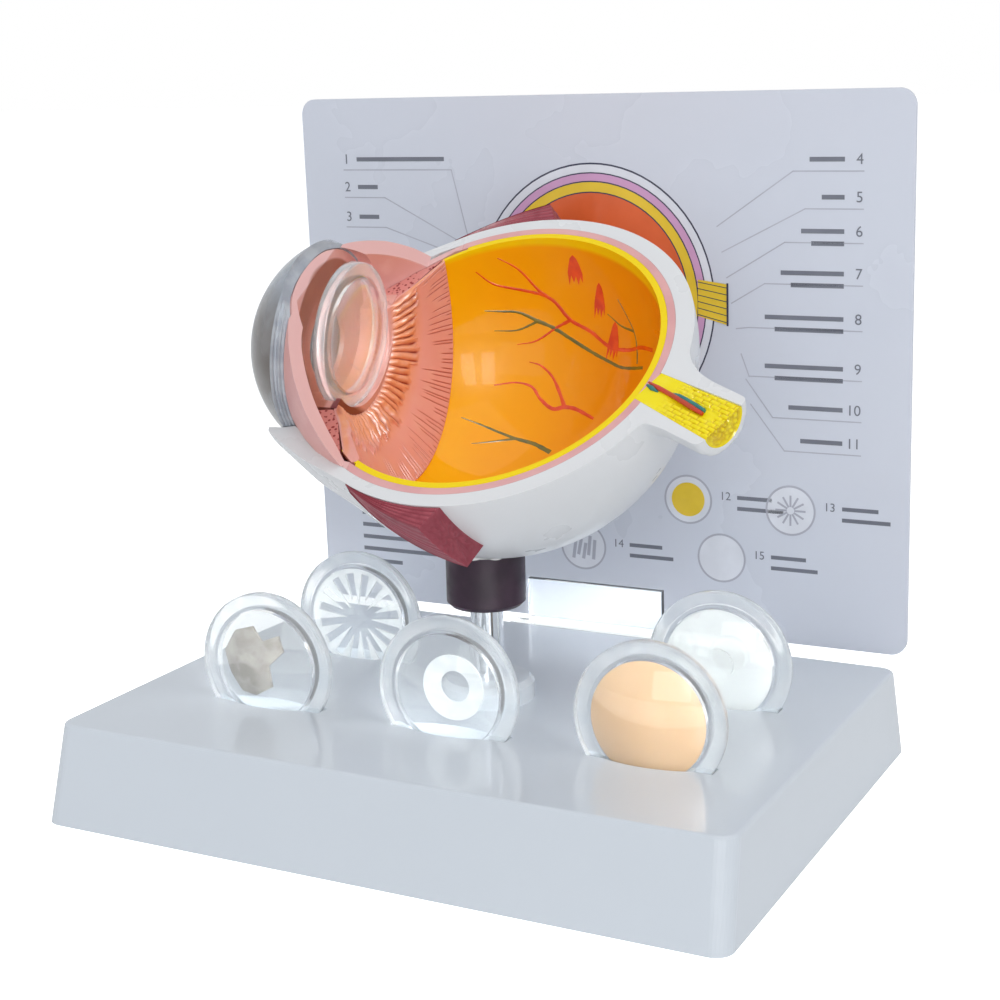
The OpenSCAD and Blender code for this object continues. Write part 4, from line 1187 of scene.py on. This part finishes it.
# ---------------------------------------------------------------------------------------------
# Card: a thick laminated print that stands in the clip. Leader lines run to plain numbers and
# grey bars, round a plain diagram of rings and four small discs.
card_paper = Finish("laminated_card", (0.66, 0.69, 0.77), 0.28, Coat_Weight=0.2, Coat_Roughness=0.12)
card_paper.patches(14, (0.648, 0.678, 0.758), 0.2, 0.9).shine(25, 0.22, 0.32).grain(900, 0.000004)
dress("info_card", card_paper)

card_foot_y, card_foot_z = 62.3, 23.1
card = Matrix.Translation(Vector((0, card_foot_y, card_foot_z)) * MM + Vector((0, rod_y, 0))) \
    @ Matrix.Rotation(math.radians(1.1), 4, "Z") @ Matrix.Rotation(math.radians(1.4), 4, "X")
card_half, print_step, ink_thickness, print_turns = 0.5, 0.03, 0.02, 72


def ink(name, colour):
    """A printed colour with the faint unevenness of ink."""
    finish = Finish(name, colour, 0.3, Coat_Weight=0.35, Coat_Roughness=0.12)
    return finish.patches(90, tuple(min(1, c * 1.12 + 0.01) for c in colour), 0.4, 0.7)


class Print:
    """Flat shapes of one ink on the card's face, kept apart by a hair in the order of printing."""

    def __init__(self, name, finish, layer):
        self.name, self.finish = name, finish
        self.face = -card_half - print_step * layer
        self.points, self.faces = [], []

    def shape(self, outline):
        """One flat shape from (across, up) pairs in millimetres."""
        start = len(self.points)
        self.points += [card @ (Vector((x, self.face, z)) * MM) for x, z in outline]
        self.faces.append(tuple(range(start, len(self.points))))

    def line(self, stops, width=0.28):
        """A ruled line with corners."""
        for (x1, z1), (x2, z2) in zip(stops, stops[1:]):
            length = math.hypot(x2 - x1, z2 - z1)
            ux, uz = (x2 - x1) / length * width / 2, (z2 - z1) / length * width / 2
            self.shape([(x1 - ux + uz, z1 - uz - ux), (x2 + ux + uz, z2 + uz - ux),
                        (x2 + ux - uz, z2 + uz + ux), (x1 - ux - uz, z1 - uz + ux)])

    def ring(self, centre, outer, inner):
        """A round outline, in short pieces."""
        for k in range(print_turns):
            turns = (2 * math.pi * k / print_turns, 2 * math.pi * (k + 1) / print_turns)
            self.shape([(centre[0] + r * math.cos(turns[n]), centre[1] + r * math.sin(turns[n]))
                        for r, n in ((outer, 0), (outer, 1), (inner, 1), (inner, 0))])

    def disc(self, centre, radius, squeeze=1.0):
        """A filled round, made taller or flatter by squeeze."""
        turns = [2 * math.pi * k / print_turns for k in range(print_turns)]
        self.shape([(centre[0] + radius * math.cos(t), centre[1] + squeeze * radius * math.sin(t))
                    for t in turns])

    def number(self, figure, place, size):
        """A plain number."""
        letters = bpy.data.curves.new("figure", "FONT")
        letters.body = str(figure)
        letters.size = size
        letters.align_x = "RIGHT" if place[0] > 0 else "LEFT"
        holder = bpy.data.objects.new("figure", letters)
        scene.collection.objects.link(holder)
        graph = bpy.context.evaluated_depsgraph_get()
        flat = bpy.data.meshes.new_from_object(holder.evaluated_get(graph))
        start = len(self.points)
        self.points += [card @ (Vector((place[0] + v.co.x, self.face, place[1] + v.co.y)) * MM)
                        for v in flat.vertices]
        self.faces += [tuple(start + k for k in p.vertices) for p in flat.polygons]
        bpy.data.objects.remove(holder)

    def bars(self, place, widths, step, height, right=False):
        """Plain bars, one below the other."""
        for k, width in enumerate(widths):
            x = place[0] - width if right else place[0]
            z = place[1] - k * step
            self.shape([(x, z), (x + width, z), (x + width, z + height), (x, z + height)])

    def done(self):
        """Gives the ink its thickness and puts it on the card."""
        piece = raw_piece(self.name, self.points, self.faces, self.finish)
        thick = piece.modifiers.new("thick", "SOLIDIFY")
        thick.thickness = ink_thickness * MM
        thick.offset = -1
        set_modifiers(piece)
        settle_in(piece, "card")


grey_ink = ink("grey_ink", (0.16, 0.17, 0.21))
pale_ink = ink("pale_ink", (0.42, 0.43, 0.50))
dark_ink = ink("dark_ink", (0.03, 0.03, 0.07))
orange_ink = ink("orange_ink", (0.72, 0.115, 0.02))
yellow_ink = ink("yellow_ink", (0.80, 0.55, 0.02))
lilac_ink = ink("lilac_ink", (0.62, 0.33, 0.55))
white_ink = ink("white_ink", (0.72, 0.74, 0.80))

leaders = Print("card_leaders", pale_ink, 1)
numbers = Print("card_numbers", grey_ink, 2)
bars = Print("card_bars", grey_ink, 1)
right_rows = (119.4, 110.6, 102.6, 92.6, 81.8, 69.8, 59.8, 51.6)
for k, row in enumerate(right_rows):
    wide = (13, 10, 15, 20, 24, 24, 18, 15)[k]
    leaders.line([(70, row - 2.2), (70 - wide - 4, row - 2.2), (34 + k * 1.2, 104 - k * 6.2)])
    numbers.number(k + 4, (70, row - 0.6), 3.6)
    bars.bars((65.5, row), (wide - 4.5, wide - 7)[:1 + (k in (2, 3, 4, 5))], 2.9, 1.1, True)
for k, row in enumerate((119.8, 112.6, 104.8)):
    wide = (29, 9, 9)[k]
    leaders.line([(-70, row - 2.2), (-70 + wide + 3, row - 2.2), (-34 + k, 101 - k * 3.5)])
    numbers.number(k + 1, (-70, row - 0.6), 3.6)
    bars.bars((-66, row), (wide - 3,), 2.9, 1.1)
bars.bars((-70, 23.6), (33, 30, 34, 31, 12), 3.4, 1.1)
bars.bars((-20, 26), (3.5, 3.5), 3.4, 1.1)

lens_rings = Print("card_lens_rings", pale_ink, 2)
lens_fill = Print("card_lens_fill", white_ink, 1)
lens_yellow = Print("card_lens_yellow", yellow_ink, 2)
for k, (x, z) in enumerate(((25.8, 35.2), (52.6, 34.4), (-3.4, 20.4), (34.6, 20.6))):
    lens_fill.disc((x, z), 6.0)
    lens_rings.ring((x, z), 6.4, 5.9)
    numbers.number(k + 12, (x + 8.2 + 3.2, z + 0.6), 3.0)
    bars.bars((x + 13, z + 0.9), (9, 12), 2.8, 1.0)
lens_yellow.disc((25.8, 35.2), 4.4)
for k in range(12):
    turn_k = math.radians(30 * k)
    lens_rings.line([(52.6 + 1.2 * math.cos(turn_k), 34.4 + 1.2 * math.sin(turn_k)),
                     (52.6 + 3.6 * math.cos(turn_k), 34.4 + 3.6 * math.sin(turn_k))], 0.5)
for k in range(5):
    lens_rings.line([(-6.2 + k * 1.4, 17.4 + (k % 2)), (-5.4 + k * 1.3, 22.8 - (k % 3))], 0.9)

diagram_centre = (1, 85)
diagram_rings = (
    ("card_diagram_edge", dark_ink, 1, 32.4), ("card_diagram_white", white_ink, 2, 32.0),
    ("card_diagram_line", dark_ink, 3, 30.2), ("card_diagram_lilac", lilac_ink, 4, 29.9),
    ("card_diagram_band", dark_ink, 5, 28.2), ("card_diagram_yellow", yellow_ink, 6, 27.9),
    ("card_diagram_rim", dark_ink, 7, 25.7), ("card_diagram_red", orange_ink, 8, 25.4),
)
for name, finish, layer, radius in diagram_rings:
    part = Print(name, finish, layer)
    part.disc(diagram_centre, radius, 1.06)
    part.done()
stalk = Print("card_diagram_nerve", yellow_ink, 6)
stalk.shape([(29, 82), (36.5, 80), (36.5, 90), (29, 91)])
stalk.done()
stalk_lines = Print("card_diagram_nerve_lines", dark_ink, 7)
for k in range(6):
    stalk_lines.line([(29, 82.4 + 1.6 * k), (36.4, 80.6 + 1.7 * k)], 0.2)
stalk_lines.line([(36.6, 80), (36.6, 90)], 0.5)
stalk_lines.done()
for part in (leaders, numbers, bars, lens_rings, lens_fill, lens_yellow):
    part.done()
